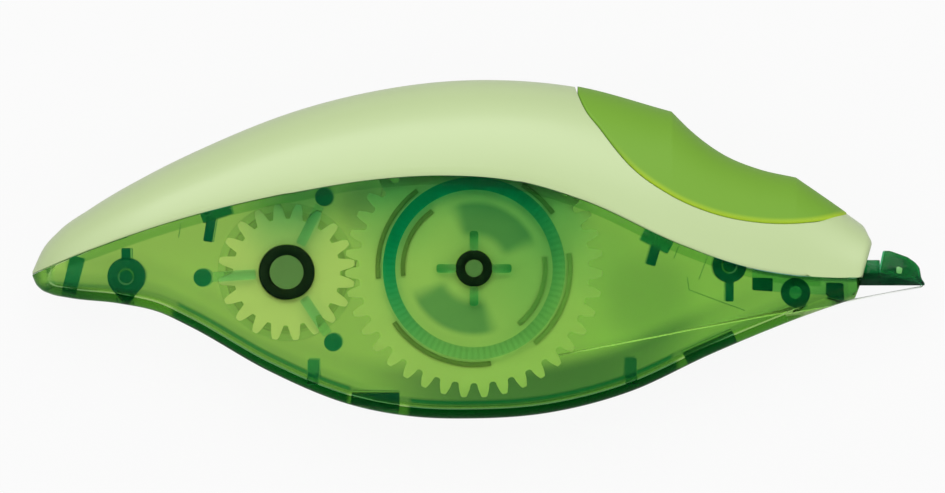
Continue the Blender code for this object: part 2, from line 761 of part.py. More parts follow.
def make_applicator_head():
    """Cheeks either side of a sloped platform, a channelled neck, and the shank with its ring hub."""
    inner = HEAD_INSIDE / 2
    outer = inner + CHEEK
    heights = (MID - SHANK_WIDTH / 2, MID + SHANK_WIDTH / 2)
    head = prism("applicator_head", SHANK_SHAPE, *heights)
    hub = tube("hub", HUB_R, heights)
    hub.location = (*HUB, 0)
    combine(head, prism("hub_room", circle(HUB, HUB_R[0] + GAP, 28), *THROUGH), "DIFFERENCE")
    combine(head, hub, "UNION")
    front = [(TIP[0], TIP[1] + TIP_R), (TIP[0] + TIP_R, TIP[1]), (TIP[0], HEAD_FOOT)]
    combine(head, prism("platform", PLATFORM_BACK + front, MID - outer, MID + outer), "UNION")
    for low in (MID - outer, MID + inner):
        combine(head, prism("cheek", CHEEK_BACK + CHEEK_FRONT, low, low + CHEEK), "UNION")
        combine(head, prism("rail", RAIL_SHAPE, low, low + CHEEK), "UNION")
        combine(head, prism("window", HEAD_WINDOW, low - BITE, low + CHEEK + BITE), "DIFFERENCE")
    return head


def material(name):
    made = bpy.data.materials.get(name)
    if made:
        return made
    made = bpy.data.materials.new(name)
    made.use_nodes = True
    shader = made.node_tree.nodes["Principled BSDF"]
    shader.inputs["Base Color"].default_value = (*COLOURS[name], 1)
    shader.inputs["Roughness"].default_value = ROUGHNESS.get(name, DEFAULT_ROUGHNESS)
    shader.inputs["Metallic"].default_value = 0
    shader.inputs["Transmission Weight"].default_value = SEE_THROUGH.get(name, 0)
    return made


def place(obj, finish, axis=(0, 0)):
    """Scales a finished piece to metres, puts its origin on its axis and gives it its material."""
    obj.data.transform(Matrix.Scale(MM, 4))
    obj.location = (axis[0] * MM, axis[1] * MM, 0)
    obj.data.shade_smooth()
    obj.data.set_sharp_from_angle(angle=math.radians(28))
    obj.data.materials.clear()
    obj.data.materials.append(material(finish))


def main():
    for obj in list(bpy.data.objects):
        bpy.data.objects.remove(obj)

    case = make_case_with_posts()
    place(make_shell("right_shell", case, True), "case_green")
    place(make_shell("left_shell", case, False), "case_green")
    bpy.data.objects.remove(case)
    place(make_top_cover(), "cover_green")
    place(make_finger_grip(), "grip_lime")
    place(make_applicator_head(), "head_green")

    place(tube("supply_axle", SUPPLY_AXLE, AXLE), "axle_dark", SUPPLY)
    place(make_supply_gear(), "gear_lime", SUPPLY)
    place(tube("clutch_ring", CLUTCH, CLUTCH_Z), "clutch_grey", SUPPLY)
    place(make_supply_spool(), "spool_pale", SUPPLY)
    place(tube("supply_flange", (SUPPLY_BORE, SUPPLY_FLANGE_R), LOWER_FLANGE, 40), "spool_pale", SUPPLY)
    place(tube("supply_tape", SUPPLY_ROLL, TAPE, 48), "tape_white", SUPPLY)

    place(tube("take_up_axle", TAKE_UP_AXLE, AXLE), "axle_dark", TAKE_UP)
    place(make_take_up_gear(), "gear_lime", TAKE_UP)
    place(make_take_up_spool(), "spool_pale", TAKE_UP)
    place(tube("take_up_flange", (TAKE_UP_BORE, TAKE_UP_FLANGE_R), LOWER_FLANGE), "spool_pale", TAKE_UP)
    place(tube("take_up_tape", TAKE_UP_ROLL, TAPE), "carrier_film", TAKE_UP)

    place(tube("return_guide_roller", GUIDE_R, (CORE_FOOT, ROLLER_TOP), 24), "roller_white", GUIDE)
    feed, back_run = make_tape_runs()
    place(feed, "tape_white")
    place(back_run, "carrier_film")


main()
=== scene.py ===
import json
import math

import bmesh
import bpy
import numpy as np
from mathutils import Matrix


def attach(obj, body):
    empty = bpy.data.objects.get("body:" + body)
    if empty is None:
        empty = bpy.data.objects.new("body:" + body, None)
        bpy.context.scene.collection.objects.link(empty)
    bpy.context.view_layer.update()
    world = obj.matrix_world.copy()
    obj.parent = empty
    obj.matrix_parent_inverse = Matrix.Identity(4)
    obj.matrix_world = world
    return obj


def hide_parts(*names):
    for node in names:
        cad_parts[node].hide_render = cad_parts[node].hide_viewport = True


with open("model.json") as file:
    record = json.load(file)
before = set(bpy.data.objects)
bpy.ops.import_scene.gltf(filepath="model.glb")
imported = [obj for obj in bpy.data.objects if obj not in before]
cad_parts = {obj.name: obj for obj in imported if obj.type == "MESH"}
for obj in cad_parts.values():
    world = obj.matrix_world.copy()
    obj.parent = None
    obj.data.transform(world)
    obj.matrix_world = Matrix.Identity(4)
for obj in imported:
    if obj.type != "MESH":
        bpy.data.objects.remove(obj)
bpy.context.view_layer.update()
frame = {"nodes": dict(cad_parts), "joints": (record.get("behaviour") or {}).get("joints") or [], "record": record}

mm = 0.001
mid = 8.0  # height of the parting plane above the floor
axes = {joint["name"]: np.array(joint["pos_m"][:2]) / mm for joint in frame["joints"]}
supply, takeUp, guide = axes["supply_spin"], axes["take_up_spin"], axes["guide_spin"]
groups = frame["record"]["behaviour"]["bodies"]
bodies = {node: body for body, members in groups.items() for node in members}
print("frame loaded:", len(frame["nodes"]), "solids")


# an operator that adds one Math node
def adds(operation):
    return lambda wire, other: wire.maths(operation, other)


# a shader socket: arithmetic on it adds Math nodes, node() adds any other kind
class Wire:
    def __init__(self, tree, socket=None):
        self.tree = tree
        self.socket = socket

    def node(self, kind, settings, inputs, out=0):
        made = self.tree.nodes.new("ShaderNode" + kind)
        for key, value in settings.items():
            setattr(made, key, value)
        for key, value in inputs.items():
            if isinstance(value, Wire):
                self.tree.links.new(value.socket, made.inputs[key])
            else:
                made.inputs[key].default_value = value
        return Wire(self.tree, made.outputs[out])

    def maths(self, operation, *others):
        return self.node("Math", {"operation": operation}, dict(enumerate((self, *others))))

    def __rsub__(self, other):
        return self.maths("MULTIPLY_ADD", -1.0, other)

    __add__ = __radd__ = adds("ADD")
    __mul__ = __rmul__ = adds("MULTIPLY")
    __sub__ = adds("SUBTRACT")
    __pow__ = adds("POWER")


def grain(place, scale, detail=2.0):
    return place.node("TexNoise", {}, {"Vector": place, "Scale": scale, "Detail": detail})


def blendColours(share, first, second):
    ends = [colour if isinstance(colour, Wire) else (*colour, 1) for colour in (first, second)]
    return share.node("Mix", {"data_type": "RGBA"}, {0: share, 6: ends[0], 7: ends[1]}, 2)


# eased from the first level to the last while the value goes from low to high
def smooth(value, low, high, first=0.0, last=1.0):
    levels = {0: value, 1: low, 2: high, 3: first, 4: last}
    return value.node("MapRange", {"interpolation_type": "SMOOTHSTEP"}, levels)


# a value stored with the mesh's points
def mark(place, name):
    return place.node("Attribute", {"attribute_name": name}, {}, "Fac")


# x and y of a point, measured from the supply axle in metres
def fromSupply(place):
    ways = (place.node("SeparateXYZ", {}, {0: place}, letter) for letter in "XY")
    return [way - float(at * mm) for way, at in zip(ways, supply)]


# one finish: fixed values go on the shader's own sockets, paint() gives what varies over the surface,
# and absorb is the light lost per metre in red, green and blue
def finish(name, spec, paint, absorb=()):
    made = bpy.data.materials.new(name)
    made.use_nodes = True
    tree = made.node_tree
    shader = tree.nodes["Principled BSDF"]
    for socket, value in spec.items():
        shader.inputs[socket].default_value = value
    place = Wire(tree).node("TexCoord", {}, {}, "Object")
    for socket, value in paint(place).items():
        tree.links.new(value.socket, shader.inputs[socket])
    if absorb:
        density = 1.05 * max(absorb)  # a little over the largest loss, so that no channel is at 0
        colour = (*(1 - np.array(absorb) / density), 1)
        depth = place.node("VolumeAbsorption", {}, {"Color": colour, "Density": density})
        tree.links.new(depth.socket, tree.nodes["Material Output"].inputs["Volume"])
    return made


# noise on the plastics: scale per metre and detail, and the fine skin's depth in mm
drift = {"clear": (55.0, 2.0), "moulded": (70.0, 3.0), "skin": (2600.0, 1.0), "skinDepth": 0.02}


# two near shades in slow clouds, and a roughness that drifts with them
def cloudy(place, kind, first, second, rough):
    clouds = grain(place, *drift[kind])
    low, high = rough
    return {"Base Color": blendColours(clouds, first, second), "Roughness": low + (high - low) * clouds}


# clear plastic: a faint drift of tint and polish
def clearPaint(*shades):
    return lambda place: cloudy(place, "clear", *shades)


# moulded plastic: the same drift under a fine skin
def mouldedPaint(*shades, skin=0.04):
    def paint(place):
        fine = grain(place, *drift["skin"])
        relief = {"Strength": skin, "Distance": drift["skinDepth"] * mm, "Height": fine}
        return cloudy(place, "moulded", *shades) | {"Normal": fine.node("Bump", {}, relief)}

    return paint


# a paint that turns to another tint where the mesh is marked
def markedPaint(base, name, tint):
    def paint(place):
        sockets = base(place)
        sockets["Base Color"] = blendColours(mark(place, name), sockets["Base Color"], tint)
        return sockets

    return paint


# the case wall's own tint runs from the tail to the nose; the other colours here are painted shade: greener and
# darker under the cover and round the belly, and deep green along the belly's rim
caseTints = {
    "tail": (0.78, 0.96, 0.47), "nose": (0.68, 0.935, 0.405), "fade": (-0.034, 0.036), "waver": 0.012,
    "tailLip": (0.01, 0.2, 0.12), "lip": (0.001, 0.14, 0.085), "lipFade": (-0.024, -0.012),
    "veil": (0.19, 0.58, 0.3), "shade": (0.15, 0.34, 0.2), "rough": (0.01, 0.03),
}


# the case wall: yellower to the tail; greener under the cover and round the belly, where shade is painted; deep
# green in the lips, a painted dark rim where the rounded belly is seen edge-on
def casePaint(place):
    clouds = grain(place, *drift["clear"])
    x = place.node("SeparateXYZ", {}, {0: place}, "X")
    along = smooth(x + caseTints["waver"] * clouds, *caseTints["fade"])
    tint = blendColours(along, caseTints["tail"], caseTints["nose"])
    # the colour of the painted dark rim along the belly, lighter towards the tail
    lip = blendColours(smooth(x, *caseTints["lipFade"]), caseTints["tailLip"], caseTints["lip"])
    # painted shade: the marked shares darken the tint under the cover, round the belly and along its rim
    for name, colour in (("veil", caseTints["veil"]), ("shade", caseTints["shade"]), ("lip", lip)):
        tint = blendColours(mark(place, name), tint, colour)
    least, more = caseTints["rough"]
    return {"Base Color": tint, "Roughness": least + more * clouds}


ringTints = {
    "deep": (0.04, 0.68, 0.85), "pale": (0.7, 0.92, 0.92), "lean": (0.45, 0.89), "fade": (-0.00867, 0.00918),
    "tick": (0.02, 0.25, 0.2), "ticks": 90.0, "tickShare": 0.06, "tickGrain": 900.0,
    "rough": (0.08, 0.06), "roughGrain": 300.0,
}


# the ring rib: deep at the upper left and pale at the lower right, with fine ticks round it
def ringPaint(place):
    x, y = fromSupply(place)
    right, up = ringTints["lean"]
    tint = blendColours(smooth(right * x - up * y, *ringTints["fade"]), ringTints["deep"], ringTints["pale"])
    waves = (ringTints["ticks"] * y.maths("ARCTAN2", x)).maths("SINE")
    ticks = ringTints["tickShare"] * (waves + grain(place, ringTints["tickGrain"]))
    tint = blendColours(ticks.maths("MAXIMUM", 0.0), tint, ringTints["tick"])
    least, more = ringTints["rough"]
    return {"Base Color": tint, "Roughness": least + more * grain(place, ringTints["roughGrain"])}


wheelTints = {
    "base": ((0.68, 0.66, 0.67), (0.74, 0.72, 0.73), (0.35, 0.45)),
    "windowShade": (0.18, 0.34, 0.42), "share": 0.85, "turn": math.radians(132), "sides": (-0.2, 0.45),
    "inside": (3.2, 4.8), "outside": (8.4, 7.4),
}


# the large wheel: soft darker patches of painted shade where the spool's two windows lie behind it
def wheelPaint(place):
    paint = mouldedPaint(*wheelTints["base"])(place)
    x, y = fromSupply(place)
    r = (x * x + y * y) ** 0.5 * (1 / mm)
    twice = 2.0 * y.maths("ARCTAN2", x) - wheelTints["turn"]
    windowShade = smooth(twice.maths("COSINE"), *wheelTints["sides"])
    windowShade = windowShade * smooth(r, *wheelTints["inside"]) * smooth(r, *wheelTints["outside"])
    paint["Base Color"] = blendColours(wheelTints["share"] * windowShade, paint["Base Color"], wheelTints["windowShade"])
    return paint


def clear(share, ior):
    return {"Transmission Weight": share, "IOR": ior}


spokePaint = clearPaint((0.7, 0.94, 0.93), (0.76, 0.96, 0.95), (0.05, 0.1))
headPaint = clearPaint((0.11, 0.66, 0.3), (0.15, 0.7, 0.35), (0.04, 0.08))
gripPaint = mouldedPaint((0.184, 0.41, 0.031), (0.207, 0.435, 0.039), (0.5, 0.62), skin=0.12)

# every finish: fixed sockets, paint (two shades and the range of roughness), light lost per metre
recipes = {
    "case_clear": (clear(1.0, 1.09), casePaint, (60, 15, 110)),
    "roof_clear": (clear(1.0, 1.03), clearPaint((0.8, 0.9, 0.8), (0.85, 0.93, 0.85), (0.02, 0.05)),
                   (200, 60, 120)),
    "rib_clear": (clear(1.0, 1.12), clearPaint((0.78, 0.94, 0.92), (0.84, 0.97, 0.96), (0.02, 0.06)),
                  (440, 155, 100)),
    "ring_clear": (clear(1.0, 1.1), ringPaint),
    "rib_deep": (clear(1.0, 1.12), clearPaint((0.7, 0.92, 0.86), (0.76, 0.95, 0.9), (0.02, 0.06)),
                 (950, 300, 230)),
    "spoke_clear": (clear(1.0, 1.2), markedPaint(spokePaint, "deep", (0.32, 0.74, 0.66)), (140, 45, 30)),
    "boss_soft": ({}, mouldedPaint((0.02, 0.15, 0.07), (0.03, 0.18, 0.085), (0.3, 0.4))),
    "plug_clear": (clear(1.0, 1.1), clearPaint((0.72, 0.82, 0.85), (0.76, 0.86, 0.89), (0.1, 0.2)),
                   (60, 60, 20)),
    "head_clear": (clear(0.95, 1.2), markedPaint(headPaint, "deep", (0.03, 0.32, 0.15)), (850, 290, 480)),
    "cover_pale": ({"Specular IOR Level": 0.35, "Coat Weight": 0.1, "Coat Roughness": 0.2},
                   mouldedPaint((0.55, 0.69, 0.345), (0.58, 0.71, 0.375), (0.28, 0.36))),
    # the pad's border is painted lighter towards the nose: a painted highlight on its rounded rim
    "grip_rubber": ({"Specular IOR Level": 0.3}, markedPaint(gripPaint, "edge", (0.42, 0.62, 0.03))),
    "axle_dark": ({"Specular IOR Level": 0.15},
                  mouldedPaint((0.002, 0.01, 0.024), (0.004, 0.014, 0.03), (0.3, 0.45))),
    "gear_green": (clear(0.1, 1.15), wheelPaint),
    "gear_cream": (clear(0.05, 1.15), mouldedPaint((0.82, 0.7, 0.81), (0.86, 0.74, 0.85), (0.35, 0.45))),
    "gear_olive": (clear(0.2, 1.15), mouldedPaint((0.25, 0.3, 0.24), (0.3, 0.35, 0.28), (0.4, 0.5))),
    "gear_moss": (clear(0.3, 1.05), mouldedPaint((0.4, 0.5, 0.42), (0.45, 0.55, 0.47), (0.4, 0.5))),
    "window_lime": ({}, mouldedPaint((0.12, 0.42, 0.1), (0.16, 0.48, 0.13), (0.2, 0.3))),
    "spool_pale": (clear(0.35, 1.1), mouldedPaint((0.72, 0.8, 0.62), (0.78, 0.85, 0.68), (0.3, 0.4))),
    "flange_clear": (clear(0.96, 1.01), clearPaint((0.95, 0.97, 0.93), (0.97, 0.985, 0.96), (0.02, 0.05))),
    "flange_mist": (clear(0.94, 1.01), clearPaint((0.92, 0.97, 0.94), (0.94, 0.98, 0.96), (0.03, 0.06))),
    "clutch_grey": ({}, mouldedPaint((0.07, 0.08, 0.07), (0.1, 0.11, 0.1), (0.6, 0.75), skin=0.1)),
    "tape_white": ({}, mouldedPaint((0.9, 0.91, 0.88), (0.93, 0.94, 0.91), (0.5, 0.6))),
    "carrier_film": (clear(0.85, 1.03), mouldedPaint((0.93, 0.95, 0.88), (0.95, 0.97, 0.9), (0.1, 0.2))),
    "roller_white": ({}, mouldedPaint((0.74, 0.76, 0.7), (0.8, 0.81, 0.76), (0.35, 0.45))),
}
looks = {name: finish(name, *recipe) for name, recipe in recipes.items()}
print("finishes:", len(looks))


# faces of a grid of point numbers
def quads(k):
    return np.stack([k[:-1, :-1], k[:-1, 1:], k[1:, 1:], k[1:, :-1]], -1).reshape(-1, 4)


# point numbers of rows by columns, with the first column again at the end, and the first row where asked
def roundGrid(rows, cols, roundRows=False):
    k = np.arange(rows * cols).reshape(rows, cols)
    if roundRows:
        k = np.vstack([k, k[:1]])
    return np.hstack([k, k[:, :1]])


# a wall: an outer and an inner sheet of one grid size, closed along its borders.
# openRows marks the rows where the middle column is an opening's edge and not a fold.
def walled(outer, inner, openRows=None):
    rows, cols = outer.shape[:2]
    k = np.arange(rows * cols).reshape(rows, cols)
    sheet = quads(k)
    edges = [(k[:, 0], None), (k[:, -1], None), (k[0], None), (k[-1], None)]
    if openRows is not None:
        half = cols // 2
        sheet = sheet[(np.arange(len(sheet)) % (cols - 1)) != half - 1]
        live = openRows[:-1] | openRows[1:]
        ends = [part for row in (k[0], k[-1]) for part in (row[:half], row[half:])]
        edges[2:] = [(part, None) for part in ends]
        edges += [(k[:, half - 1], live), (k[:, half], live)]
    faces = [sheet, sheet[:, ::-1] + rows * cols]
    for line, live in edges:
        joint = quads(np.stack([line, line + rows * cols]))
        faces.append(joint if live is None else joint[live])
    return np.concatenate([outer.reshape(-1, 3), inner.reshape(-1, 3)]), np.concatenate(faces)


def onCircle(turn):
    return np.stack([np.cos(turn), np.sin(turn)], -1)


def unit(way):
    return way / np.maximum(np.linalg.norm(way, axis=-1, keepdims=True), 1e-9)


def leftOf(way):
    return np.stack([-way[..., 1], way[..., 0]], -1)


# radii and heights along a closed profile, set at each angle round an upright axis
def swept(r, z, turn, centre):
    points = np.stack([centre[0] + r * np.cos(turn), centre[1] + r * np.sin(turn), z + 0 * (r + turn)], -1)
    return points.reshape(-1, 3), quads(roundGrid(*points.shape[:2], True))


# a ring: closed profile of radius and height, swept through a full circle
def turned(profile, centre, steps=96):
    return swept(*profile.T, np.linspace(0, 2 * math.pi, steps, endpoint=False)[:, None], centre)


# closed profile of a tube with its rims rounded by a quarter circle
def tubeProfile(inner, outer, low, high, edge=0.12, steps=4):
    corners = ((inner + edge, low + edge, 180), (outer - edge, low + edge, 270),
               (outer - edge, high - edge, 0), (inner + edge, high - edge, 90))
    turns = [np.radians(np.linspace(start, start + 90, steps)) for _, _, start in corners]
    return np.concatenate([(r, z) + edge * onCircle(turn) for (r, z, _), turn in zip(corners, turns)])


# outline with each corner replaced by a curve that starts and ends a little way along its sides
def softCorners(points, radius, steps=5):
    p = np.array(points, float)
    sides = [np.roll(p, shift, 0) - p for shift in (1, -1)]
    lengths = [np.linalg.norm(side, axis=1)[:, None] for side in sides]
    reach = np.minimum(radius, 0.45 * np.minimum(*lengths))  # two curves on one side never meet
    start, end = (p + unit(side) * reach for side in sides)
    t = np.linspace(0, 1, steps)[:, None]
    curve = (1 - t) ** 2 * start[:, None] + 2 * t * (1 - t) * p[:, None] + t**2 * end[:, None]
    return curve.reshape(-1, 2)


# outline moved inwards along the mean of its two side normals
def drawnIn(outline, depth):
    normal = leftOf(unit(np.roll(outline, -1, 0) - outline))
    area = np.sum(outline[:, 0] * np.roll(outline[:, 1], -1) - outline[:, 1] * np.roll(outline[:, 0], -1))
    both = normal + np.roll(normal, 1, 0)
    both /= np.maximum(np.sum(both * both, axis=1), 0.5)[:, None] / 2  # a sharp corner moves only so far
    return outline + np.sign(area) * depth * both


# a moulded block: outline carried up, its lower and upper rims rounded
def moulding(outline, low, high, edge=0.12, steps=3):
    outline = np.array(outline, float)
    n = len(outline)
    a = np.linspace(0, math.pi / 2, steps)
    inset = edge * (1 - np.concatenate([np.sin(a), np.cos(a)]))
    level = np.concatenate([low + edge * (1 - np.cos(a)), high - edge * (1 - np.sin(a))])
    rings = [np.column_stack([drawnIn(outline, d), np.full(n, z)]) for d, z in zip(inset, level)]
    caps = range(n), range((len(rings) - 1) * n, len(rings) * n)
    return np.concatenate(rings), [*quads(roundGrid(len(rings), n)), *caps]


# a toothed disc: at each angle a closed profile from the bore out to the edge and back
def toothed(angles, radii, centre, bore, low, high, edge):
    share = np.array([0, 1, 1, 1, 1, 0])
    inset = np.array([0, edge, 0, 0, edge, 0])
    level = np.array([low, low, low + edge, high - edge, high, high])
    return swept(bore * (1 - share) + share * (radii[:, None] - inset), level, angles[:, None], centre)


# a thin band along a path in the side view, standing between two heights
def band(path, thick, low, high):
    off = leftOf(unit(np.gradient(path, axis=0))) * thick / 2
    corners = (1, low), (-1, low), (-1, high), (1, high)
    rings = np.stack([np.column_stack([path + side * off, np.full(len(path), z)]) for side, z in corners], 1)
    last = 4 * (len(path) - 1)
    return rings.reshape(-1, 3), [*quads(roundGrid(len(path), 4)), range(4), range(last, last + 4)]


# how near in metres points and edges are merged, and the angle of a hard edge
meshing = {"double": 2e-7, "sliver": 1e-8, "sharp": math.radians(32.0)}


# one closed shape as a mesh: doubles merged, faces outwards, marks stored with its points
def closedMesh(points, faces, marks):
    mesh = bpy.data.meshes.new("part")
    mesh.from_pydata(np.asarray(points) * mm, [], [tuple(face) for face in faces])
    for key, values in marks.items():
        values = values(points) if callable(values) else np.ravel(values)
        mesh.attributes.new(key, "FLOAT", "POINT").data.foreach_set("value", values)
    bm = bmesh.new()
    bm.from_mesh(mesh)
    bmesh.ops.remove_doubles(bm, verts=bm.verts, dist=meshing["double"])
    bmesh.ops.dissolve_degenerate(bm, edges=bm.edges, dist=meshing["sliver"])
    bmesh.ops.recalc_face_normals(bm, faces=bm.faces)
    if bm.calc_volume(signed=True) < 0:
        bmesh.ops.reverse_faces(bm, faces=bm.faces)
    bm.to_mesh(mesh)
    bm.free()
    return mesh


def addObject(name, data):
    obj = bpy.data.objects.new(name, data)
    bpy.context.scene.collection.objects.link(obj)
    return obj


# puts closed shapes into the scene as one piece that dresses a solid and rides on its body
def addPiece(name, shapes, look, node, marks=None):
    whole = bmesh.new()
    for points, faces in shapes:
        part = closedMesh(points, faces, marks or {})
        whole.from_mesh(part)
        bpy.data.meshes.remove(part)
    mesh = bpy.data.meshes.new(name)
    whole.to_mesh(mesh)
    whole.free()
    mesh.shade_smooth()
    mesh.set_sharp_from_angle(angle=meshing["sharp"])
    mesh.materials.append(looks[look])
    obj = addObject(name, mesh)
    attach(obj, bodies[node])
    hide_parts(node)


# the body in side view, tail to nose, in mm, and how thick it is
form = {
    "back": [(-53.5, -2.6), (-52.4, -0.2), (-50.5, 2.05), (-46.65, 4.83), (-39.45, 9.03), (-32.25, 12.51),
             (-22.65, 16.35), (-13.05, 18.87), (-3.0, 20.2), (3.0, 20.28), (11.4, 19.5), (23.11, 16.41)],
    "scoop": [(23.11, 16.41), (25.35, 14.19), (29.0, 11.45), (33.6, 9.5), (38.06, 8.49)],
    "front": [(38.06, 8.49), (42.15, 5.67), (48.5, 1.15)],
    "belly": [(-53.5, -3.3), (-53.15, -4.1), (-52.6, -4.72), (-51.4, -5.33), (-49.05, -5.83), (-43.0, -6.5),
              (-38.2, -7.55), (-34.65, -9.21), (-25.05, -14.61), (-15.45, -18.57), (-8.0, -20.0),
              (-1.05, -20.25), (8.55, -19.53), (18.15, -17.01), (27.75, -12.57), (37.35, -8.61),
              (48.5, -4.7)],
    "seam": [(-53.5, -3.0), (-47.0, -0.33), (-37.05, 3.15), (-20.85, 7.04), (-11.85, 8.43), (-4.05, 8.84),
             (4.95, 8.07), (12.63, 5.79), (23.91, 0.63), (31.95, -2.13), (38.0, -3.15), (48.5, -3.45)],
    "pad": [(11.3, 20.2), (12.19, 17.81), (14.6, 14.27), (17.81, 10.25), (22.6, 6.65), (27.45, 4.47),
            (33.88, 3.19), (40.31, 3.34), (45.0, 4.3)],
    "nose": [(-6.4, 45.1), (-4.19, 45.86), (-3.4, 45.95), (1.6, 47.07), (2.35, 46.75), (4.0, 46.2)],
    "leanFrom": 40.0,
    "halfWidth": 8.0, "leastWidth": 0.05,
    "tailTaper": (-34.0, 19.8), "noseTaper": (20.0, 27.0), "noseThinner": 0.3,
    "bellyRound": 4.5, "bellyDepth": 3.0, "roundShare": 0.9, "flatShare": 0.4,
    "seamMargin": 0.3, "arch": (2.6, 0.7, 9.0),
    "tailRows": (6.5, 16), "evenRows": 170,
}


# smooth curve of x: cubic between its points, the slope at each from its neighbours
def curveThrough(points):
    xs, ys = np.array(points, float).T
    slopes = np.gradient(ys, xs)

    def height(x):
        i = np.clip(np.searchsorted(xs, x) - 1, 0, len(xs) - 2)
        span = xs[i + 1] - xs[i]
        t = np.clip((x - xs[i]) / span, 0, 1)
        rise = (1 + 2 * t) * (1 - t) ** 2 * ys[i] + t * t * (3 - 2 * t) * ys[i + 1]
        return rise + span * t * (1 - t) * ((1 - t) * slopes[i] - t * slopes[i + 1])

    return height


belly, seam, padEdge = (curveThrough(form[key]) for key in ("belly", "seam", "pad"))
backParts = [curveThrough(form[key]) for key in ("back", "scoop", "front")]
kinks = form["scoop"][0][0], form["scoop"][-1][0]
tailEnd = form["back"][0][0]
noseEnd = max(x for _, x in form["nose"])
brink = 0.05  # a row this far past a step keeps the step crisp


def back(x):
    first, second, third = (part(x) for part in backParts)
    return np.where(x <= kinks[0], first, np.where(x <= kinks[1], second, third))


def noseAt(y):
    return np.interp(y, *np.array(form["nose"]).T)


def ease(t):
    t = np.clip(t, 0, 1)
    return t * t * (3 - 2 * t)


# 0 up to the start, then eased to 1 over a length
def past(value, start, length):
    return ease((value - start) / length)


# 0 from the reach on, eased to 1 over a soft stretch before it
def within(value, reach, soft):
    return ease((reach - value) / soft)


# half the thickness: square root of 1 - t cubed at the tail, eased in at the nose
def halfWidth(x):
    t = np.clip((form["tailTaper"][0] - x) / form["tailTaper"][1], 0, 0.9999)
    return form["halfWidth"] * np.sqrt(1 - t**3) * (1 - form["noseThinner"] * past(x, *form["noseTaper"]))


# the measures of the section at x, drawn in by inset
def section(x, inset):
    low, high = belly(x) + inset, back(x) - inset
    wide = np.maximum(halfWidth(x) - inset, form["leastWidth"])
    margin = form["seamMargin"] * (high - low)
    base = np.clip(seam(x), low + margin, high - margin)
    foot = np.minimum(form["bellyRound"] - inset / 2, form["roundShare"] * (base - low))
    flat = np.maximum(wide - form["bellyDepth"], form["flatShare"] * wide)
    power, more, spread = form["arch"]
    power = power + more * np.exp(-(((x - sum(kinks) / 2) / spread) ** 2))
    return low, high, wide, base, foot, flat, power


# half section: q from -1 flat belly, 0 to 1 quarter round, 1 to 2 straight side, 2 to 3 arch to the top
def skin(x, q, inset):
    low, high, wide, base, foot, flat, power = section(x, inset)
    a, b = np.clip(q, 0, 1) * math.pi / 2, np.clip(q - 2, 0, 1) * math.pi / 2
    y = low + foot * (1 - np.cos(a)) + (base - low - foot) * np.clip(q - 1, 0, 1)
    y = y + (high - base) * np.sin(b) ** (2 / power)
    side = flat * np.clip(q + 1, 0, 1) + (wide - flat) * np.sin(a)
    arch = wide * np.maximum(np.cos(b), 0) ** (2 / power)
    return y, np.where(q > 2, np.where(q > 2.9999, 0, arch), side)


# the q at which the section passes the height y
def levelAt(x, y, inset):
    low, high, wide, base, foot, flat, power = section(x, inset)
    arch = 2 + np.arcsin(np.clip((y - base) / (high - base), 0, 1) ** (power / 2)) * 2 / math.pi
    side = 1 + (y - low - foot) / np.maximum(base - low - foot, 1e-6)
    turn = np.arccos(np.clip(1 - (y - low) / foot, -1, 1)) * 2 / math.pi
    return np.where(y > base, arch, np.where(y > low + foot, side, turn))


# half the thickness at a place in the side view
def widthAt(x, y, inset):
    return skin(x, levelAt(x, y, inset), inset)[1]


# rows from the tail to just behind the nose's rounded rim, closer at the tail
def bodyRows(rim, extra):
    length, count = form["tailRows"]
    tail = tailEnd + length * np.linspace(0, 1, count) ** 2
    even = np.linspace(tailEnd + length, noseEnd - rim, form["evenRows"])
    return np.unique(np.round(np.concatenate([tail, even, kinks, extra]), 4))[:, None]


# shares across a wall: even columns, then two close ones at its edge, which the depths given round off
def edgedColumns(first, count, depths):
    w = np.concatenate([np.linspace(first, 0.985, count), [0.994, 1.0]])
    return w, np.concatenate([np.zeros(count), depths])


# the last rows lean with the nose's front
def frontLean(x, y, rim):
    start = form["leanFrom"]
    return x - (noseEnd - noseAt(y)) * past(x, start, noseEnd - rim - start)


# the lean depends on the height and the height on the lean, so both are worked out in turn
def leaned(x, q, inset, rim):
    placed = x + 0 * q
    for _ in range(4):
        placed = frontLean(x, skin(placed, q, inset)[0], rim)
    return placed


def stacked(x, y, z):
    x, y, z = np.broadcast_arrays(x, y, z)
    return np.stack([x, y, mid + z], -1)


def flipped(points):
    return points * (1, 1, -1) + (0, 0, 2 * mid)


def mirrored(shapes):
    return [(flipped(points), faces) for points, faces in shapes]


shell = {
    "wall": 1.2, "gap": 0.05, "parting": 0.02, "hollow": (-52.7, 45.2), "hollowEase": 2.2, "hollowRows": 14,
    "columns": 52, "rim": 0.25, "rimRound": (0.03, 0.14), "slot": 3.7, "tapeSlot": (38.8, 3.0),
    "roof": (1.55, 1.95), "roofRows": (-49.4, 41.0, 110), "roofColumns": 26, "roofLap": 1.1, "ribGap": 0.03,
}
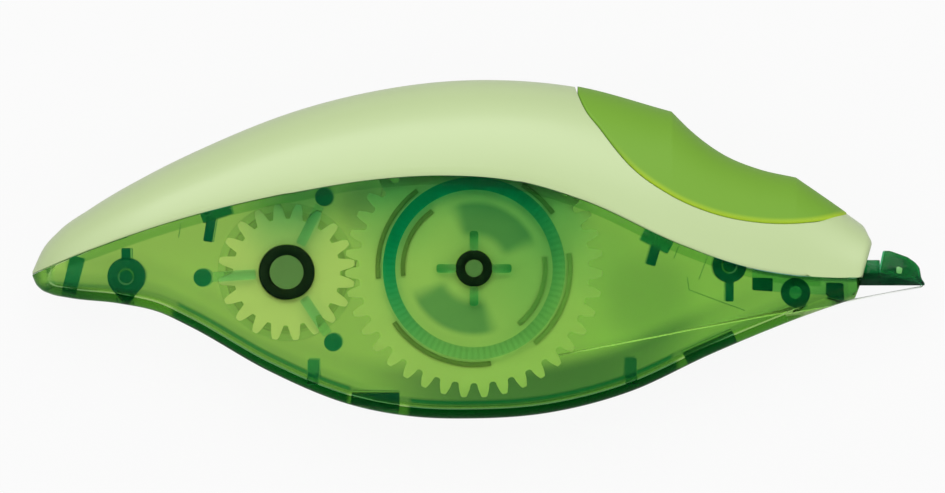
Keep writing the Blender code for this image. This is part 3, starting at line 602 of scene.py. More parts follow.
# where shade is painted on the wall, in mm: how far a painted shade reaches, how soft its end is and how deep it
# is
paintedShades = {
    "belly": ((7.0, 2.6, 0.15, 0.75), (4.2, 2.4, 0.4, 0.0), (1.9, 0.4, 0.55, 0.35)), "middle": (7.5, 18.5),
    "top": (5.5, 5.0), "topMiddle": -7.0, "topSpan": (22.0, 8.0), "topNear": 0.55, "topFar": 0.3,
    "tail": (1.7, 1.2), "tailSpan": (-44.0, 4.0), "tailDeep": 0.75,
    "nose": (0.55, 0.25), "noseSpan": (28.0, 4.0), "noseDeep": 0.85,
    "farShadows": ((20.5, -6.0, 5.5, 0.32), (-14.0, 5.0, 3.0, 0.35)),
    "nearShadows": ((-23.0, 4.6, 5.5, 0.3), (-10.5, 4.5, 5.0, 0.3), (9.0, 3.5, 4.5, 0.22),
                  (13.5, -0.5, 5.0, 0.16)),
    "inRing": (10.7, 1.2), "ringDeep": (0.04, 0.24), "ringLean": (0.8, 0.6), "ringSpan": (-6.0, 12.0),
    "mostShadowVeil": 0.9,
    "lips": ((-37.0, -15.5), (-8.3, 23.7)), "lipEnds": 0.15, "lipElsewhere": 0.35,
    "lipTail": (-40.0, 3.0), "lipTailMore": 0.4, "lipFlat": (-0.55, 0.45), "lipFlatLeast": 0.3,
    "lipStart": (-40.0, -24.0), "lipLevel": (0.6, 0.57), "lipSoft": (0.22, 0.1),
}


# round soft spots of painted shade, each falling off as the exponential of minus its distance to the fourth power
def spots(x, y, places):
    return sum(deep * np.exp(-((((x - a) / r) ** 2 + ((y - b) / r) ** 2) ** 2)) for a, b, r, deep in places)


# painted shade of the wall inside the ring rib: deepens to the upper right
def ringShade(x, y):
    dx, dy = x - supply[0], y - supply[1]
    least, more = paintedShades["ringDeep"]
    right, up = paintedShades["ringLean"]
    deep = least + more * past(right * dx + up * dy, *paintedShades["ringSpan"])
    return within(np.hypot(dx, dy), *paintedShades["inRing"]) * deep


# painted dark rim in the lip, where the rounded belly is seen edge-on: full over the long stretches, less between
# them, and it fades up the belly's round and onto its flat
def lipShade(x, q):
    ends, least = paintedShades["lipEnds"], paintedShades["lipFlatLeast"]
    inLip = sum(past(x, start, ends) * within(x, end, ends) for start, end in paintedShades["lips"])
    inLip = inLip + paintedShades["lipElsewhere"] + paintedShades["lipTailMore"] * within(x, *paintedShades["lipTail"])
    level, soft = (np.interp(x, paintedShades["lipStart"], paintedShades[key]) for key in ("lipLevel", "lipSoft"))
    onFlat = least + (1 - least) * past(q, *paintedShades["lipFlat"])
    return np.minimum(1, inLip) * onFlat * within(q, level, soft)


# shares of painted shade on one sheet: shade of the near half, shade of the far half, the veil of shade under the
# cover and inside the ring, and the dark rim of the lip
def wallShades(x, y, q, isOuter):
    above, below = y - belly(x), seam(x) - y
    centre, spread = paintedShades["middle"]
    middle = np.exp(-(((x - centre) / spread) ** 4))
    # painted shade: deep round the belly's middle, under the cover along the seam, along the tail's rim and under
    # the cover at the nose, with soft spots of it on both halves
    onBelly = [within(above, *span) * (least + more * middle) for *span, least, more in paintedShades["belly"]]
    onTop = within(below, *paintedShades["top"]) * within(np.abs(x - paintedShades["topMiddle"]), *paintedShades["topSpan"])
    onTail = within(np.minimum(x - tailEnd, above), *paintedShades["tail"]) * within(x, *paintedShades["tailSpan"])
    onNose = within(below, *paintedShades["nose"]) * past(x, *paintedShades["noseSpan"])
    onTail, onNose = paintedShades["tailDeep"] * onTail, paintedShades["noseDeep"] * onNose
    far = np.maximum.reduce(onBelly + [paintedShades["topFar"] * onTop]) + spots(x, y, paintedShades["farShadows"])
    veil = paintedShades["topNear"] * onTop + spots(x, y, paintedShades["nearShadows"]) + ringShade(x, y)
    far, veil = np.minimum(far, 1), np.minimum(veil, paintedShades["mostShadowVeil"])
    return np.maximum(onTail, onNose), np.maximum(onTail, far), veil, lipShade(x, q) * isOuter


# one half of the see-through case: outer sheet on the body's skin, inner sheet one wall further in
def caseWall():
    start, end = shell["hollow"]
    slotFrom, slotHalf = shell["tapeSlot"]
    opening = np.linspace(start, start + shell["hollowEase"], shell["hollowRows"])
    x = bodyRows(shell["rim"], np.concatenate([opening, (end, end + brink, slotFrom, slotFrom + brink)]))
    w, rim = edgedColumns(0.0, shell["columns"], shell["rimRound"])
    begin = np.where(x > slotFrom, slotHalf, shell["parting"])
    sheets, layers = [], []
    for inset in (0.0, shell["wall"]):
        safe = np.clip(x, start, noseEnd) if inset else x
        q = -1 + (levelAt(safe, seam(safe) - shell["gap"], inset) + 1) * w
        placed = leaned(safe, q, inset, shell["rim"])
        y, z = skin(placed, q, inset if inset else rim)
        z = np.maximum(z, begin)
        if inset:  # beyond the hollow the inner sheet lies flat on the parting plane or the head's slot
            share = np.where(x > end, 0, past(x, start, shell["hollowEase"]))
            low = belly(x) + shell["parting"]
            flatY = low + (seam(x) - shell["gap"] - low) * w
            flatZ = np.where(x > end, shell["slot"], begin)
            y, z = flatY + (y - flatY) * share, flatZ + (z - flatZ) * share
            placed = np.where(share < 1, frontLean(x, flatY, shell["rim"]), placed)
        sheets.append(stacked(placed, y, z))
        # the painted shade of each sheet, kept as marks on its points
        layers.append(wallShades(x, y, q, not inset))
    near, far, veil, lip = (np.stack(layer) for layer in zip(*layers))
    marks = {"shade": near, "veil": veil, "lip": lip}, {"shade": far, "veil": 0 * veil, "lip": lip}
    return walled(*sheets), *marks


# the stepped-in roof under the cover
def caseRoof():
    x = np.linspace(*shell["roofRows"])[:, None]
    w = np.linspace(0, 1, shell["roofColumns"])
    sheets = []
    for inset in shell["roof"]:
        q = levelAt(x, seam(x) - shell["roofLap"], inset)
        y, z = skin(x, q + (3 - q) * w, inset)
        sheets.append(stacked(x, y, np.maximum(z, shell["parting"])))
    return walled(*sheets)


wallShape, rightMarks, leftMarks = caseWall()
roofShape = caseRoof()
for side, turnOver, marks in (("right", list, rightMarks), ("left", mirrored, leftMarks)):
    addPiece(side + "_shell_clear", turnOver([wallShape]), "case_clear", side + "_shell", marks)
    addPiece(side + "_shell_roof", turnOver([roofShape]), "roof_clear", side + "_shell")
print("case halves done")


# posts, bosses, pegs and tabs that stand between the side walls and the parting plane
ribs = {
    "bars": [((-48.0, -0.9), (-49.0, -5.0), 1.75, 9.0), ((-42.15, -1.45), (-42.15, 0.15), 1.1, 4.5),
             ((-31.9, 3.9), (-32.4, 0.9), 1.1, 5.0), ((-33.1, 3.65), (-29.6, 4.85), 1.2, 3.0),
             ((-19.8, -16.0), (-19.8, -13.2), 1.4, 1.8), ((-15.2, -18.1), (-9.5, -18.1), 1.9, 9.0),
             ((18.2, -16.0), (18.2, -13.0), 1.4, 1.8), ((21.2, 0.5), (20.5, -1.9), 1.2, 5.0),
             ((19.6, 1.8), (22.9, 0.1), 1.5, 2.6), ((24.7, -13.0), (30.6, -10.35), 1.3, 9.0),
             ((29.96, -3.6), (29.96, -6.25), 1.0, 5.0)],
    "drops": [((-42.15, -3.27), 2.28, 3.15), ((29.96, -1.95), 2.04, 2.04)],
    "dropDepth": 9.0, "dropLean": 0.2,
    "beads": [((-35.6, 3.25), (-35.85, 1.4)), ((23.9, 0.5), (23.3, -1.1)), ((27.3, -0.85), (26.3, -3.6)),
              ((24.9, -3.35), (25.1, -4.85)), ((25.1, -4.85), (29.0, -6.3)), ((29.0, -6.3), (31.8, -7.3))],
    "beadWidth": 0.14, "beadDepth": 0.3,
    "posts": (63.5, 183.7, -56.4), "postReach": 10.05, "postRadius": 1.1, "postDepth": 3.4,
    "offBelly": 0.25, "measureAt": 1.5, "offWall": 0.04, "offParting": 0.05, "leastHeight": 1.0,
    "gussets": (0, 90, 180, 270), "gusset": (2.15, 4.5, 1.05), "gussetDeep": (3.75, 0.35),
    "spoke": (3.7, 1.15, 1.2),
    "ring": (9.4, 10.9), "foot": 13.9,
    "spigots": ((supply, 1.04), (takeUp, 2.02)), "spigotReach": 2.5,
    "bossRing": (0.78, 0.98), "bossRingRise": 0.01, "bossRingDepth": 0.2,
    "collars": ((supply, 2.5, 3.7), (takeUp, 3.6, 4.8)), "collarTop": 3.9,
    "guidePin": 0.7, "guidePinEnds": (2.3, 10.5),
}
wallInside = 2 * mid - shell["wall"] - shell["ribGap"]
floorInside = 2 * mid - wallInside
postPlaces = takeUp + ribs["postReach"] * onCircle(np.radians(ribs["posts"]))


# a bar between two points, its corners softened
def barOutline(start, end, width, soft=0.2):
    start, end = np.array(start, float), np.array(end, float)
    off = leftOf(unit(end - start)) * width / 2
    return softCorners([start + off, end + off, end - off, start - off], soft)


def roundOutline(centre, radius, steps=40):
    return centre + radius * onCircle(np.linspace(0, 2 * math.pi, steps, endpoint=False))


# a round boss drawn down to a point: the circle as far as its tangents from the point, then straight
def dropOutline(centre, radius, depth, steps=48):
    reach = math.acos(min(radius / depth, 1.0))
    rim = radius * onCircle(np.linspace(-math.pi / 2 + reach, 1.5 * math.pi - reach, steps))
    return np.array(centre) + (np.vstack([rim, (ribs["dropLean"], -depth)]) if reach > 0.1 else rim[:-1])


# each outline stands up to the inside of the wall where it is lowest
def columnShapes():
    outlines = [(barOutline(*bar), depth) for *bar, depth in ribs["bars"]]
    outlines += [(dropOutline(*drop), ribs["dropDepth"]) for drop in ribs["drops"]]
    outlines += [(roundOutline(place, ribs["postRadius"]), ribs["postDepth"]) for place in postPlaces]
    shapes = []
    for outline, depth in outlines:
        x, y = outline[:, 0], np.maximum(outline[:, 1], belly(outline[:, 0]) + ribs["offBelly"])
        room = widthAt(x, np.maximum(y, belly(x) + ribs["measureAt"]), shell["wall"])
        top = max(float(room.min()) - ribs["offWall"], ribs["leastHeight"])
        low = max(top - depth, ribs["offParting"])
        shapes.append(moulding(np.stack([x, y], -1), mid + low, mid + top))
    return shapes


# low ribs on the near wall: four gussets round the supply axle and a spoke to each post
def lowRibs():
    inner, outer, width = ribs["gusset"]
    ways = onCircle(np.radians(ribs["gussets"]))
    outlines = [barOutline(supply + inner * way, supply + outer * way, width, soft=0.4) for way in ways]
    start, gap, width = ribs["spoke"]
    for place in postPlaces:
        way = unit(place - takeUp)
        outlines.append(barOutline(takeUp + start * way, place - gap * way, width))
    return [moulding(outline, ribs["foot"], wallInside) for outline in outlines]


# deep green share of a point on the low ribs: rises over the outer end of the gussets
def gussetEnd(points):
    r = np.linalg.norm(points[:, :2] - supply, axis=1)
    return past(r, *ribs["gussetDeep"]) * (r < ribs["ring"][0])


# a block that hangs from the near wall by a depth
def hanging(outline, depth, edge):
    return moulding(outline, wallInside - depth, wallInside, edge)


# a fine ring on the near end of a boss
def bossRing(x, y):
    top = mid + float(widthAt(x, y, shell["wall"])) + ribs["bossRingRise"]
    profile = tubeProfile(*ribs["bossRing"], top - ribs["bossRingDepth"], top, edge=0.03)
    return turned(profile, (x, y), steps=40)


def collarShape(centre, inner, outer):
    return turned(tubeProfile(inner, outer, floorInside, ribs["collarTop"]), centre)


columns = columnShapes()
addPiece("right_shell_posts", columns, "rib_clear", "right_shell")
addPiece("left_shell_posts", mirrored(columns), "rib_clear", "left_shell")
addPiece("right_shell_spokes", lowRibs(), "spoke_clear", "right_shell", {"deep": gussetEnd})
beads = [barOutline(*bead, ribs["beadWidth"], soft=0.02) for bead in ribs["beads"]]
beads = [hanging(bead, ribs["beadDepth"], edge=0.03) for bead in beads]
addPiece("right_shell_beads", beads, "rib_clear", "right_shell")
ringShape = turned(tubeProfile(*ribs["ring"], ribs["foot"], wallInside), supply, steps=144)
addPiece("right_shell_ring", [ringShape], "ring_clear", "right_shell")
spigots = [hanging(roundOutline(*spigot), ribs["spigotReach"], edge=0.1) for spigot in ribs["spigots"]]
addPiece("right_shell_spigots", spigots, "plug_clear", "right_shell")
addPiece("left_shell_spigots", mirrored(spigots), "plug_clear", "left_shell")
bossRings = [bossRing(*place) for place, *_ in ribs["drops"]]
addPiece("right_shell_bossRings", bossRings, "boss_soft", "right_shell")
guidePin = moulding(roundOutline(guide, ribs["guidePin"], steps=24), *ribs["guidePinEnds"])
collars = [collarShape(*collar) for collar in ribs["collars"]]
addPiece("left_shell_collars", collars + [guidePin], "roof_clear", "left_shell")
print("posts and ribs done")


cover = {
    "wall": 1.4, "gap": 0.05, "hollow": (-50.8, 45.2), "columns": 40, "rim": 0.7, "rimRows": 6,
    "rimRound": (0.04, 0.16), "neck": (3.7, -0.9), "padGap": 0.03,
    "padRows": ((11.5, 13.5, 26), (43.0, 44.6, 16)),
}
pad = {
    "ends": (11.86, 44.1), "start": 0.02, "rows": 150, "columns": 60, "crowding": 1.6,
    "proud": 0.12, "edge": 0.35, "edgeDepth": 0.16, "highlightReach": 0.7, "highlightSpan": (15.0, 6.0),
}
nearTop = 2.999  # a q past this is the top of the arch


# length of the pad's border for each mm of x: square root of 1 + slope squared
def padStretch(x):
    step = 0.05
    slope = (padEdge(x + step) - padEdge(x - step)) / (2 * step)
    return np.sqrt(1 + slope**2)


# the pad's border, moved square to itself by shift
def padBorder(x, shift):
    return padEdge(x) + shift * padStretch(x)


# the q of the pad's border, or the top where there is no pad
def padLevel(x, shift, inset):
    y = padBorder(x, shift)
    outside = (y >= back(x) - inset) | (x < form["pad"][0][0]) | (x > form["pad"][-1][0])
    return np.where(outside, 3.0, levelAt(x, np.minimum(y, back(x) - inset), inset))


# path round the head's slot in the cover's front: up one side, across, down the other
def slotPath(w, y0):
    half, top = cover["neck"]
    rise = top - y0
    s = w * (2 * rise + 2 * half)
    y = y0 + np.clip(s, 0, rise) - np.clip(s - rise - 2 * half, 0, rise)
    return y, half - np.clip(s - rise, 0, 2 * half)


# pale saddle: outer and inner sheet from seam to seam over the back, open where the pad lies
def coverShape():
    start, end = cover["hollow"]
    rim, extra = cover["rim"], cover["rimRows"]
    dense = [np.linspace(*rows) for rows in cover["padRows"]]
    x = bodyRows(rim, np.concatenate([*dense, (start, start + brink, end, end + brink)]))
    phi = np.linspace(0, math.pi / 2, extra + 1)[1:, None]
    nominal = np.vstack([x, np.full((extra, 1), noseEnd - rim)])
    forward = np.vstack([0 * x, rim * np.sin(phi)])
    curl = np.vstack([0 * x, rim * (1 - np.cos(phi))])
    w, soft = edgedColumns(0.015, cover["columns"], cover["rimRound"])
    w, soft = np.concatenate([[0.0, 0.006], w]), np.concatenate([cover["rimRound"][::-1], soft])
    solid, front = nominal <= start, nominal > end
    foot = seam(nominal) + cover["gap"]
    sheets = []
    for inset in (0.0, cover["wall"]):
        safe = np.clip(nominal, start, end) if inset else nominal
        low = levelAt(safe, seam(safe) + cover["gap"], inset)
        high = padLevel(safe, -cover["padGap"], inset)
        q = low + (high - low) * w
        placed = leaned(safe, q, inset, rim)
        if not inset:
            fold = (high > nearTop) & (w > 0.9)
            placed = placed + forward
            y, z = skin(placed, q, np.where(fold, 0, soft) + curl)
        else:  # outside the hollow the inner sheet lies on the seam at the tail and round the head's slot
            y, z = skin(placed, q, inset)
            slotY, slotZ = slotPath(w / 2, foot)
            outerX, outerZ = sheets[0][..., 0], sheets[0][..., 2] - mid
            y = np.where(solid, foot, np.where(front, slotY, y))
            z = np.where(solid, outerZ[:, :1] * (1 - w), np.where(front, slotZ, z))
            slotX = frontLean(nominal, slotY, rim) + forward
            placed = np.where(solid, outerX, np.where(front, slotX, placed))
        sheets.append(stacked(placed, y, z))
    both = [np.concatenate([sheet, flipped(sheet)[:, ::-1]], 1) for sheet in sheets]
    return walled(*both, openRows=(padLevel(nominal, -cover["padGap"], 0.0) < nearTop)[:, 0])


# finger pad: sheet over the back between its two borders, a little proud, its rim rounded over
def padShape():
    first, last = pad["ends"]
    s = (1 - np.cos(np.linspace(pad["start"], math.pi - pad["start"], pad["rows"]))) / 2
    x = np.unique(np.concatenate([first + (last - first) * s, kinks]))[:, None]
    v = np.linspace(0, 1, pad["columns"]) ** pad["crowding"]
    sheets, edges = [], []
    for inset in (0.0, cover["wall"]):
        q = padLevel(x, cover["padGap"], inset)
        q = q + (3 - q) * v
        y, z = skin(x, q, inset)
        away = np.maximum(y - padBorder(x, cover["padGap"]), 0) / padStretch(x)
        fall = 1 - np.sqrt(1 - np.clip(1 - away / pad["edge"], 0, 1) ** 2)
        if not inset:
            y, z = skin(x, q, (pad["proud"] + pad["edgeDepth"]) * fall - pad["proud"])
        sheets.append(stacked(x, y, z))
        # painted highlight: the border lighter within reach of it, fading in from x = 15 mm towards the nose
        edges.append(ease(1 - away / pad["highlightReach"]) * past(x, *pad["highlightSpan"]))
    both = [np.concatenate([sheet, flipped(sheet)[:, -2::-1]], 1) for sheet in sheets]
    edges = [np.concatenate([edge, edge[:, -2::-1]], 1) for edge in edges]
    return walled(*both), {"edge": np.stack(edges)}


addPiece("cover_saddle", [coverShape()], "cover_pale", "top_cover")
padBody, padMarks = padShape()
addPiece("grip_pad", [padBody], "grip_rubber", "finger_grip", padMarks)
print("cover and pad done")


# toothed wheels, in mesh at rest
gears = {
    "module": 22.4 / 59 * 2, "pressure": math.radians(20), "play": 0.2, "mesh": math.radians(181.15),
    "supply": (39, 15.43, 13.75, math.radians(265.4)), "takeUp": (20, 8.2, 6.4), "height": (12.0, 13.5),
    "flank": (0.02, 0.16, 0.05), "tipShares": (0.82, 0.45), "chamfer": 0.04,
    "bore": (2.26, 3.36), "sleeve": (0.5, 6.0), "sleeveGap": 0.02,
    "lugs": (4.85, 0.4, (90, 210, 330)), "lugHeight": (10.9, 12.02),
    "arcs": [(8.5, 126, 186), (11.5, 126, 186), (11.5, 214, 280), (11.5, 35, 60)],
    "softArcs": [(8.5, -51, 9), (11.5, -51, 9)], "arcWidth": 0.55, "arcRise": (0.01, 0.4),
}


def involute(a):
    return np.tan(a) - a


# one tooth's edge repeated round: involute flanks, a narrowed tip and a root point on each side
def gearEdge(teeth, tip, root, phase):
    pitch = gears["module"] * teeth / 2
    base = pitch * math.cos(gears["pressure"])
    half = (math.pi * gears["module"] - gears["play"]) / 4 / pitch + involute(gears["pressure"])
    flankFrom, flankTo, shoulder = gears["flank"]
    r = np.linspace(max(root, base) + flankFrom, tip - flankTo, 6)
    flank = half - involute(np.arccos(base / r))
    r = np.concatenate([[root], r, [tip - shoulder, tip]])
    foot = (flank[0] + math.pi / teeth) / 2
    flank = np.concatenate([[foot], flank, flank[-1] * np.array(gears["tipShares"])])
    angle = np.concatenate([-flank, flank[::-1]])
    centres = phase + 2 * math.pi * np.arange(teeth)[:, None] / teeth
    return (centres + angle).ravel(), np.tile(np.concatenate([r, r[::-1]]), teeth)


# turns the small wheel so that a gap of it faces the large wheel's tooth on the line of centres
def takeUpPhase():
    teeth, other = gears["supply"][0], gears["takeUp"][0]
    ahead = gears["supply"][3] - gears["mesh"]
    return gears["mesh"] + math.pi - ahead * teeth / other + math.pi / other


# a wheel's toothed disc and its sleeve
def wheelShapes(centre, edge, bore):
    low, high = gears["height"]
    thick, foot = gears["sleeve"]
    sleeve = tubeProfile(bore, bore + thick, foot, low - gears["sleeveGap"], edge=0.08)
    return [toothed(*edge, centre, bore, low, high, gears["chamfer"]), turned(sleeve, centre)]


# three lugs on the small wheel drive its spool
def lugShapes():
    reach, radius, turns = gears["lugs"]
    places = takeUp + reach * onCircle(np.radians(turns))
    outlines = [roundOutline(place, radius, steps=16) for place in places]
    return [moulding(outline, *gears["lugHeight"], edge=0.05) for outline in outlines]


# part of a ring, between two angles in degrees
def arcOutline(centre, radius, start, end, width):
    turn = np.radians(np.linspace(start, end, 24))
    inner, outer = ((radius + side * width / 2) * onCircle(turn) for side in (-1, 1))
    return centre + np.concatenate([inner, outer[::-1]])


# a raised arc on the large wheel's face
def arcShape(radius, start, end):
    outline = arcOutline(supply, radius, start, end, gears["arcWidth"])
    low, high = (gears["height"][1] + rise for rise in gears["arcRise"])
    return moulding(outline, low, high, edge=0.08)


supplyBore, takeUpBore = gears["bore"]
supplyWheel = wheelShapes(supply, gearEdge(*gears["supply"]), supplyBore)
takeUpWheel = wheelShapes(takeUp, gearEdge(*gears["takeUp"], takeUpPhase()), takeUpBore)
addPiece("supply_wheel", supplyWheel, "gear_green", "supply_gear")
addPiece("take_up_wheel", takeUpWheel + lugShapes(), "gear_cream", "take_up_gear")
for key, look in (("arcs", "gear_olive"), ("softArcs", "gear_moss")):
    addPiece("supply_wheel_" + key, [arcShape(*arc) for arc in gears[key]], look, "supply_gear")
print("wheels done")


# reels under the wheels: core, flanges, wound tape, clutch and axles
reels = {
    "flange": (10.9, 11.6), "lower": (4.2, 5.0), "tape": (5.5, 10.5), "coreFoot": 5.3, "lap": 0.2,
    "supplyCore": (8.3, 9.1), "supplyFlange": 12.8, "supplyRoll": (9.4, 11.9), "supplyHub": (4.05, 4.55),
    "takeUpCore": (5.5, 6.3), "takeUpFlange": 8.3, "takeUpRoll": (6.6, 7.1), "takeUpHub": 4.4,
    "window": (4.8, 8.1), "bridges": ((105, 200), (285, 380)), "bridgeLap": 0.1,
    "discBores": (2.5, 3.6), "clutch": (3.25, 3.75), "clutchHeight": (6.6, 10.4),
    "supplyAxle": (1.06, 2.2), "takeUpAxle": (2.04, 3.3), "axleHeight": (1.5, 14.5),
    "roller": (1.0, 1.9), "rollerHeight": (5.3, 10.7),
}
flangeLow, flangeHigh = reels["flange"]
hubIn, hubOut = reels["supplyHub"]
windowIn, windowOut = reels["window"]
coreTop = flangeLow + reels["lap"]
supplySpool = [
    turned(tubeProfile(hubIn, windowIn, flangeLow, flangeHigh, edge=0.1), supply),
    turned(tubeProfile(hubIn, hubOut, gears["sleeve"][1], coreTop, edge=0.1), supply),
    turned(tubeProfile(windowOut, reels["supplyFlange"], *reels["flange"], edge=0.15), supply, steps=128),
    turned(tubeProfile(*reels["supplyCore"], reels["coreFoot"], coreTop, edge=0.1), supply, steps=128),
]
for bridge in reels["bridges"]:
    width = windowOut - windowIn + reels["bridgeLap"]
    outline = arcOutline(supply, (windowIn + windowOut) / 2, *bridge, width)
    supplySpool.append(moulding(outline, flangeLow, flangeHigh, edge=0.1))
takeUpSpool = [
    turned(tubeProfile(reels["takeUpHub"], reels["takeUpFlange"], flangeLow, flangeHigh), takeUp),
    turned(tubeProfile(*reels["takeUpCore"], reels["coreFoot"], coreTop, edge=0.1), takeUp),
]
addPiece("supply_core", supplySpool, "spool_pale", "supply_spool")
addPiece("take_up_core", takeUpSpool, "flange_mist", "take_up_spool")

# plain rings: solid, centre, radii, heights and finish
supplyDisc, takeUpDisc = zip(reels["discBores"], (reels["supplyFlange"], reels["takeUpFlange"]))
rings = {
    "supply_disc": ("supply_flange", supply, supplyDisc, reels["lower"], "flange_clear"),
    "take_up_disc": ("take_up_flange", takeUp, takeUpDisc, reels["lower"], "flange_clear"),
    "supply_roll": ("supply_tape", supply, reels["supplyRoll"], reels["tape"], "tape_white"),
    "take_up_roll": ("take_up_tape", takeUp, reels["takeUpRoll"], reels["tape"], "carrier_film"),
    "clutch_sleeve": ("clutch_ring", supply, reels["clutch"], reels["clutchHeight"], "clutch_grey"),
    "supply_axle_tube": ("supply_axle", supply, reels["supplyAxle"], reels["axleHeight"], "axle_dark"),
    "take_up_axle_tube": ("take_up_axle", takeUp, reels["takeUpAxle"], reels["axleHeight"], "axle_dark"),
    "guide_wheel": ("return_guide_roller", guide, reels["roller"], reels["rollerHeight"], "roller_white"),
}
for name, (node, centre, radii, heights, look) in rings.items():
    addPiece(name, [turned(tubeProfile(*radii, *heights), centre, steps=112)], look, node)
print("reels done")


# the tape's way: off the roll to the tip, round it, over the guide and onto the spent roll
tape = {"thick": 0.14, "clear": 0.21, "tip": np.array((52.85, -4.2)), "tipRadius": 0.14,
        "tipStart": math.radians(15), "wrap": math.radians(300)}


# straight stretch between two wheels (centre, radius, turning): tangent on the side that each turns to
def tangent(first, second):
    (ca, ra, ta), (cb, rb, tb) = first, second
    apart = cb - ca
    heading = math.atan2(apart[1], apart[0]) + math.asin((ta * ra - tb * rb) / np.linalg.norm(apart))
    off = np.array((math.sin(heading), -math.cos(heading)))
    return ca + ta * ra * off, cb + tb * rb * off


# points round a wheel, the way it turns, from one angle to the other
def around(wheel, start, end, step=math.radians(3)):
    centre, radius, turning = wheel
    sweep = (turning * (end - start)) % (2 * math.pi)
    turn = np.linspace(0, sweep, max(3, math.ceil(sweep / step)))
    return centre + radius * onCircle(start + turning * turn)


def angleOf(wheel, point):
    return math.atan2(point[1] - wheel[0][1], point[0] - wheel[0][0])


roll = (supply, reels["supplyRoll"][1] + tape["clear"], 1)
tip = (tape["tip"], tape["tipRadius"] + tape["clear"], 1)
over = (guide, reels["roller"][1] + tape["clear"], 1)
spent = (takeUp, reels["takeUpRoll"][1] + tape["clear"], -1)
(offRoll, onTip), (offTip, onGuide) = tangent(roll, tip), tangent(tip, over)
offGuide, onSpent = tangent(over, spent)
leaves, arrives = angleOf(roll, offRoll), angleOf(spent, onSpent)
feedPath = np.vstack([around(roll, leaves - tape["wrap"], leaves), onTip])
returnPath = np.vstack([
    around(tip, angleOf(tip, onTip) + tape["tipStart"], angleOf(tip, offTip), step=math.radians(12)),
    around(over, angleOf(over, onGuide), angleOf(over, offGuide), step=math.radians(6)),
    around(spent, arrives, arrives - tape["wrap"]),
])
tapeOut, tapeBack = (band(path, tape["thick"], *reels["tape"]) for path in (feedPath, returnPath))
addPiece("tape_out", [tapeOut], "tape_white", "tape_feed_run")
addPiece("tape_back", [tapeBack], "carrier_film", "tape_return_run")
print("tape done")


# applicator head: platform between two cheeks with raised panels, rails back into the nose
head = {
    "inside": 2.7, "cheek": 0.7, "cheekGap": 0.01, "panel": 0.12, "panelSunk": 0.02,
    "lens": 0.05, "lensSunk": 0.03, "deep": (-3.3, 0.3),
    "platform": [(45.3, -4.34), (45.3, -2.85), (48.4, -2.85), (52.6, -4.06), (52.85, -4.06), (52.99, -4.2),
                 (52.85, -4.34)],
    "side": [(48.05, -4.34), (48.05, -2.78), (48.6, -0.16), (49.3, -0.2), (51.38, -0.94), (52.3, -1.6),
             (52.79, -2.21), (53.01, -3.49), (53.4, -4.05), (53.4, -4.34)],
    "face": [(48.6, -3.35), (48.75, -2.5), (49.1, -0.75), (49.6, -0.75), (51.1, -1.3), (51.9, -1.95),
             (52.3, -2.6), (52.4, -3.35)],
    "rail": [(45.3, -4.34), (48.03, -4.34), (48.03, -1.29), (45.9, -1.29), (45.3, -1.9)],
    "window": [(50.0, -2.85), (50.6, -2.95), (50.75, -2.3), (50.3, -2.05), (50.0, -2.1)],
}
cheekOut = head["inside"] + head["cheek"]
panelOut = cheekOut + head["panel"]
# shank inside the nose: a thin plate, two thick blocks and a ring hub with a web across its bore
shank = {
    "plate": [(32.8, -2.0), (43.7, -2.9), (45.6, -2.9), (45.6, -4.34), (43.7, -5.8), (32.8, -4.9)],
    "plateHalf": 0.6,
    "blocks": [[(32.8, -3.4), (35.2, -3.45), (35.2, -5.1), (32.8, -4.9)],
               [(41.65, -4.05), (43.7, -4.15), (43.7, -5.75), (41.65, -5.55)]],
    "blockHalf": 2.8,
    "hub": (37.95, -5.2), "hubRadii": (0.78, 1.75), "hubHalf": 2.9, "webHalf": 1.1, "webGap": 0.01,
}


# a block through the middle plane, half of it on each side
def centred(outline, half, edge):
    return moulding(outline, mid - half, mid + half, edge)


# the same block on both sides of the middle plane, from one distance off it to another
def bothSides(outline, near, far, edge):
    heights = [sorted((mid + side * near, mid + side * far)) for side in (-1, 1)]
    return [moulding(outline, low, high, edge) for low, high in heights]


def headShape():
    cheek = head["inside"] + head["cheekGap"], cheekOut
    platform = centred(softCorners(head["platform"], radius=0.12), head["inside"], edge=0.05)
    cheeks = bothSides(softCorners(head["side"], radius=0.25), *cheek, edge=0.2)
    rails = bothSides(softCorners(head["rail"], radius=0.15), *cheek, edge=0.15)
    panel = cheekOut - head["panelSunk"], panelOut
    panels = bothSides(softCorners(head["face"], radius=0.2), *panel, edge=0.08)
    return [platform] + cheeks + rails + panels


def hubShape():
    outlines = [softCorners(block, radius=0.15) for block in shank["blocks"]]
    blocks = [centred(outline, shank["blockHalf"], edge=0.12) for outline in outlines]
    inner, outer = shank["hubRadii"]
    ring = tubeProfile(inner, outer, mid - shank["hubHalf"], mid + shank["hubHalf"])
    web = centred(roundOutline(shank["hub"], inner - shank["webGap"]), shank["webHalf"], edge=0.05)
    return blocks + [turned(ring, shank["hub"], steps=64), web]


# deep green share of a point on the head: rises towards its lower edge
def lowEdge(points):
    return within(points[:, 1], *head["deep"])


plate = centred(softCorners(shank["plate"], radius=0.2), shank["plateHalf"], edge=0.15)
lensHeight = panelOut - head["lensSunk"], panelOut + head["lens"]
lenses = bothSides(softCorners(head["window"], radius=0.15), *lensHeight, edge=0.03)
addPiece("head_tip", headShape(), "head_clear", "applicator_head", {"deep": lowEdge})
addPiece("head_shank", [plate], "rib_clear", "applicator_head")
addPiece("head_hub", hubShape(), "rib_deep", "applicator_head")
addPiece("head_window", lenses, "window_lime", "applicator_head")
print("head done")


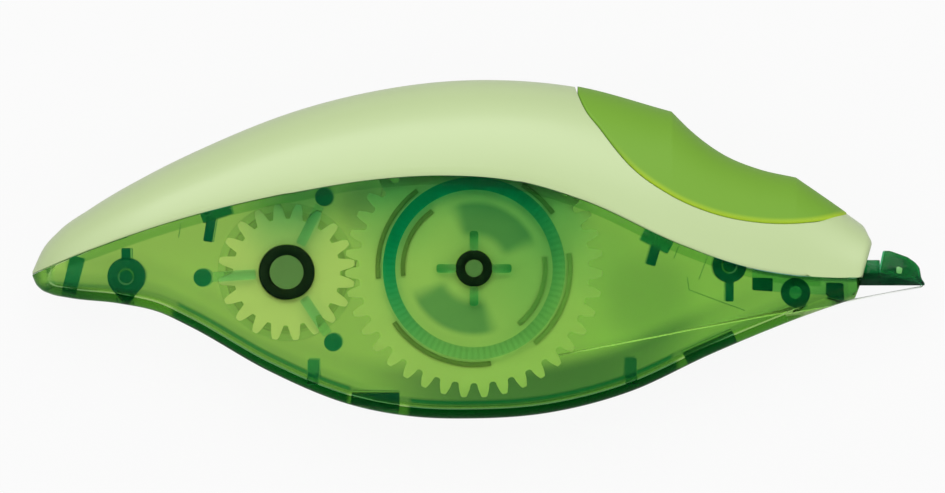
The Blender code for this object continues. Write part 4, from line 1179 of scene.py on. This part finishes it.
# white floor and backdrop, one soft key light, an even sky and the camera straight above the side
studio = {
    "floor": 3.0, "floorGrey": 0.55, "floorDrop": 1e-4, "seenThrough": 0.44, "glow": 0.92,
    "sky": 1.06, "cap": (0.88, 0.96), "capLevel": 0.04, "horizon": (0.2, 0.85), "horizonLevel": 0.2,
    "key": 1.55, "keySize": 0.4, "keyPlace": (-0.04, 0.25, 0.57),
    "distance": 1.5, "frame": 113.4, "centre": (-0.75, 0.33), "sensor": 36.0, "bounces": 24,
}
scene = bpy.context.scene


# plain white to the camera; behind clear plastic and in reflections it glows dimmer, a painted shadow of the case
# on the floor under it; a grey matte to light, so it keeps shadows
def makeFloor():
    half, z = studio["floor"] / 2, -studio["floorDrop"]
    corners = [(-half, -half, z), (half, -half, z), (half, half, z), (-half, half, z)]
    mesh = bpy.data.meshes.new("floor")
    mesh.from_pydata(corners, [], [(0, 1, 2, 3)])
    paper = bpy.data.materials.new("floor_paper")
    paper.use_nodes = True
    tree = paper.node_tree
    tree.nodes.remove(tree.nodes["Principled BSDF"])
    ray = tree.nodes.new("ShaderNodeLightPath").outputs
    kinds = ("Is Camera Ray", "Is Glossy Ray", "Is Transmission Ray")
    camera, glossy, through = (Wire(tree, ray[kind]) for kind in kinds)
    # painted shadow: the floor glows dimmer where it is seen through the case or in a reflection
    behind = studio["seenThrough"] * glossy.maths("MAXIMUM", through)
    seen = behind.maths("MAXIMUM", studio["glow"] * camera)
    matte = seen.node("BsdfDiffuse", {}, {"Color": (*[studio["floorGrey"]] * 3, 1)})
    glow = seen.node("Emission", {}, {"Color": (1, 1, 1, 1), "Strength": 1.0})
    both = seen.node("MixShader", {}, {0: seen, 1: matte, 2: glow})
    tree.links.new(both.socket, tree.nodes["Material Output"].inputs["Surface"])
    mesh.materials.append(paper)
    floor = addObject("floor", mesh)


# white to the camera; as light it is dark round the camera, so that flat faces don't mirror it, and low down
def makeSky():
    world = bpy.data.worlds.new("sky")
    scene.world = world
    world.use_nodes = True
    tree = world.node_tree
    seen = Wire(tree, tree.nodes.new("ShaderNodeLightPath").outputs["Is Camera Ray"])
    way = seen.node("TexCoord", {}, {}, "Generated")
    height = seen.node("SeparateXYZ", {}, {0: way}, "Z")
    cap = smooth(height, *studio["cap"], 1.0, studio["capLevel"])
    rise = smooth(height, *studio["horizon"], studio["horizonLevel"], 1.0)
    level = seen.maths("MAXIMUM", studio["sky"] * cap * rise)
    sky = tree.nodes["Background"]
    sky.inputs["Color"].default_value = (1, 1, 1, 1)
    tree.links.new(level.socket, sky.inputs["Strength"])


def makeKey():
    lamp = bpy.data.lights.new("key", "AREA")
    lamp.shape, lamp.size, lamp.energy = "SQUARE", studio["keySize"], studio["key"]
    key = addObject("key", lamp)
    key.location = studio["keyPlace"]
    key.rotation_euler = (-key.location).to_track_quat("-Z", "Y").to_euler()


def makeCamera():
    lens = bpy.data.cameras.new("camera")
    lens.sensor_width = studio["sensor"]
    lens.lens = studio["sensor"] * studio["distance"] / (studio["frame"] * mm)
    lens.clip_start, lens.clip_end = 0.01, 20.0
    camera = addObject("camera", lens)
    x, y = studio["centre"]
    camera.location = (x * mm, y * mm, mid * mm + studio["distance"])
    bpy.context.scene.camera = camera


makeFloor()
makeSky()
makeKey()
makeCamera()
scene.view_settings.view_transform = "Standard"
scene.cycles.max_bounces = studio["bounces"]
scene.cycles.transmission_bounces = studio["bounces"]
print("studio done")
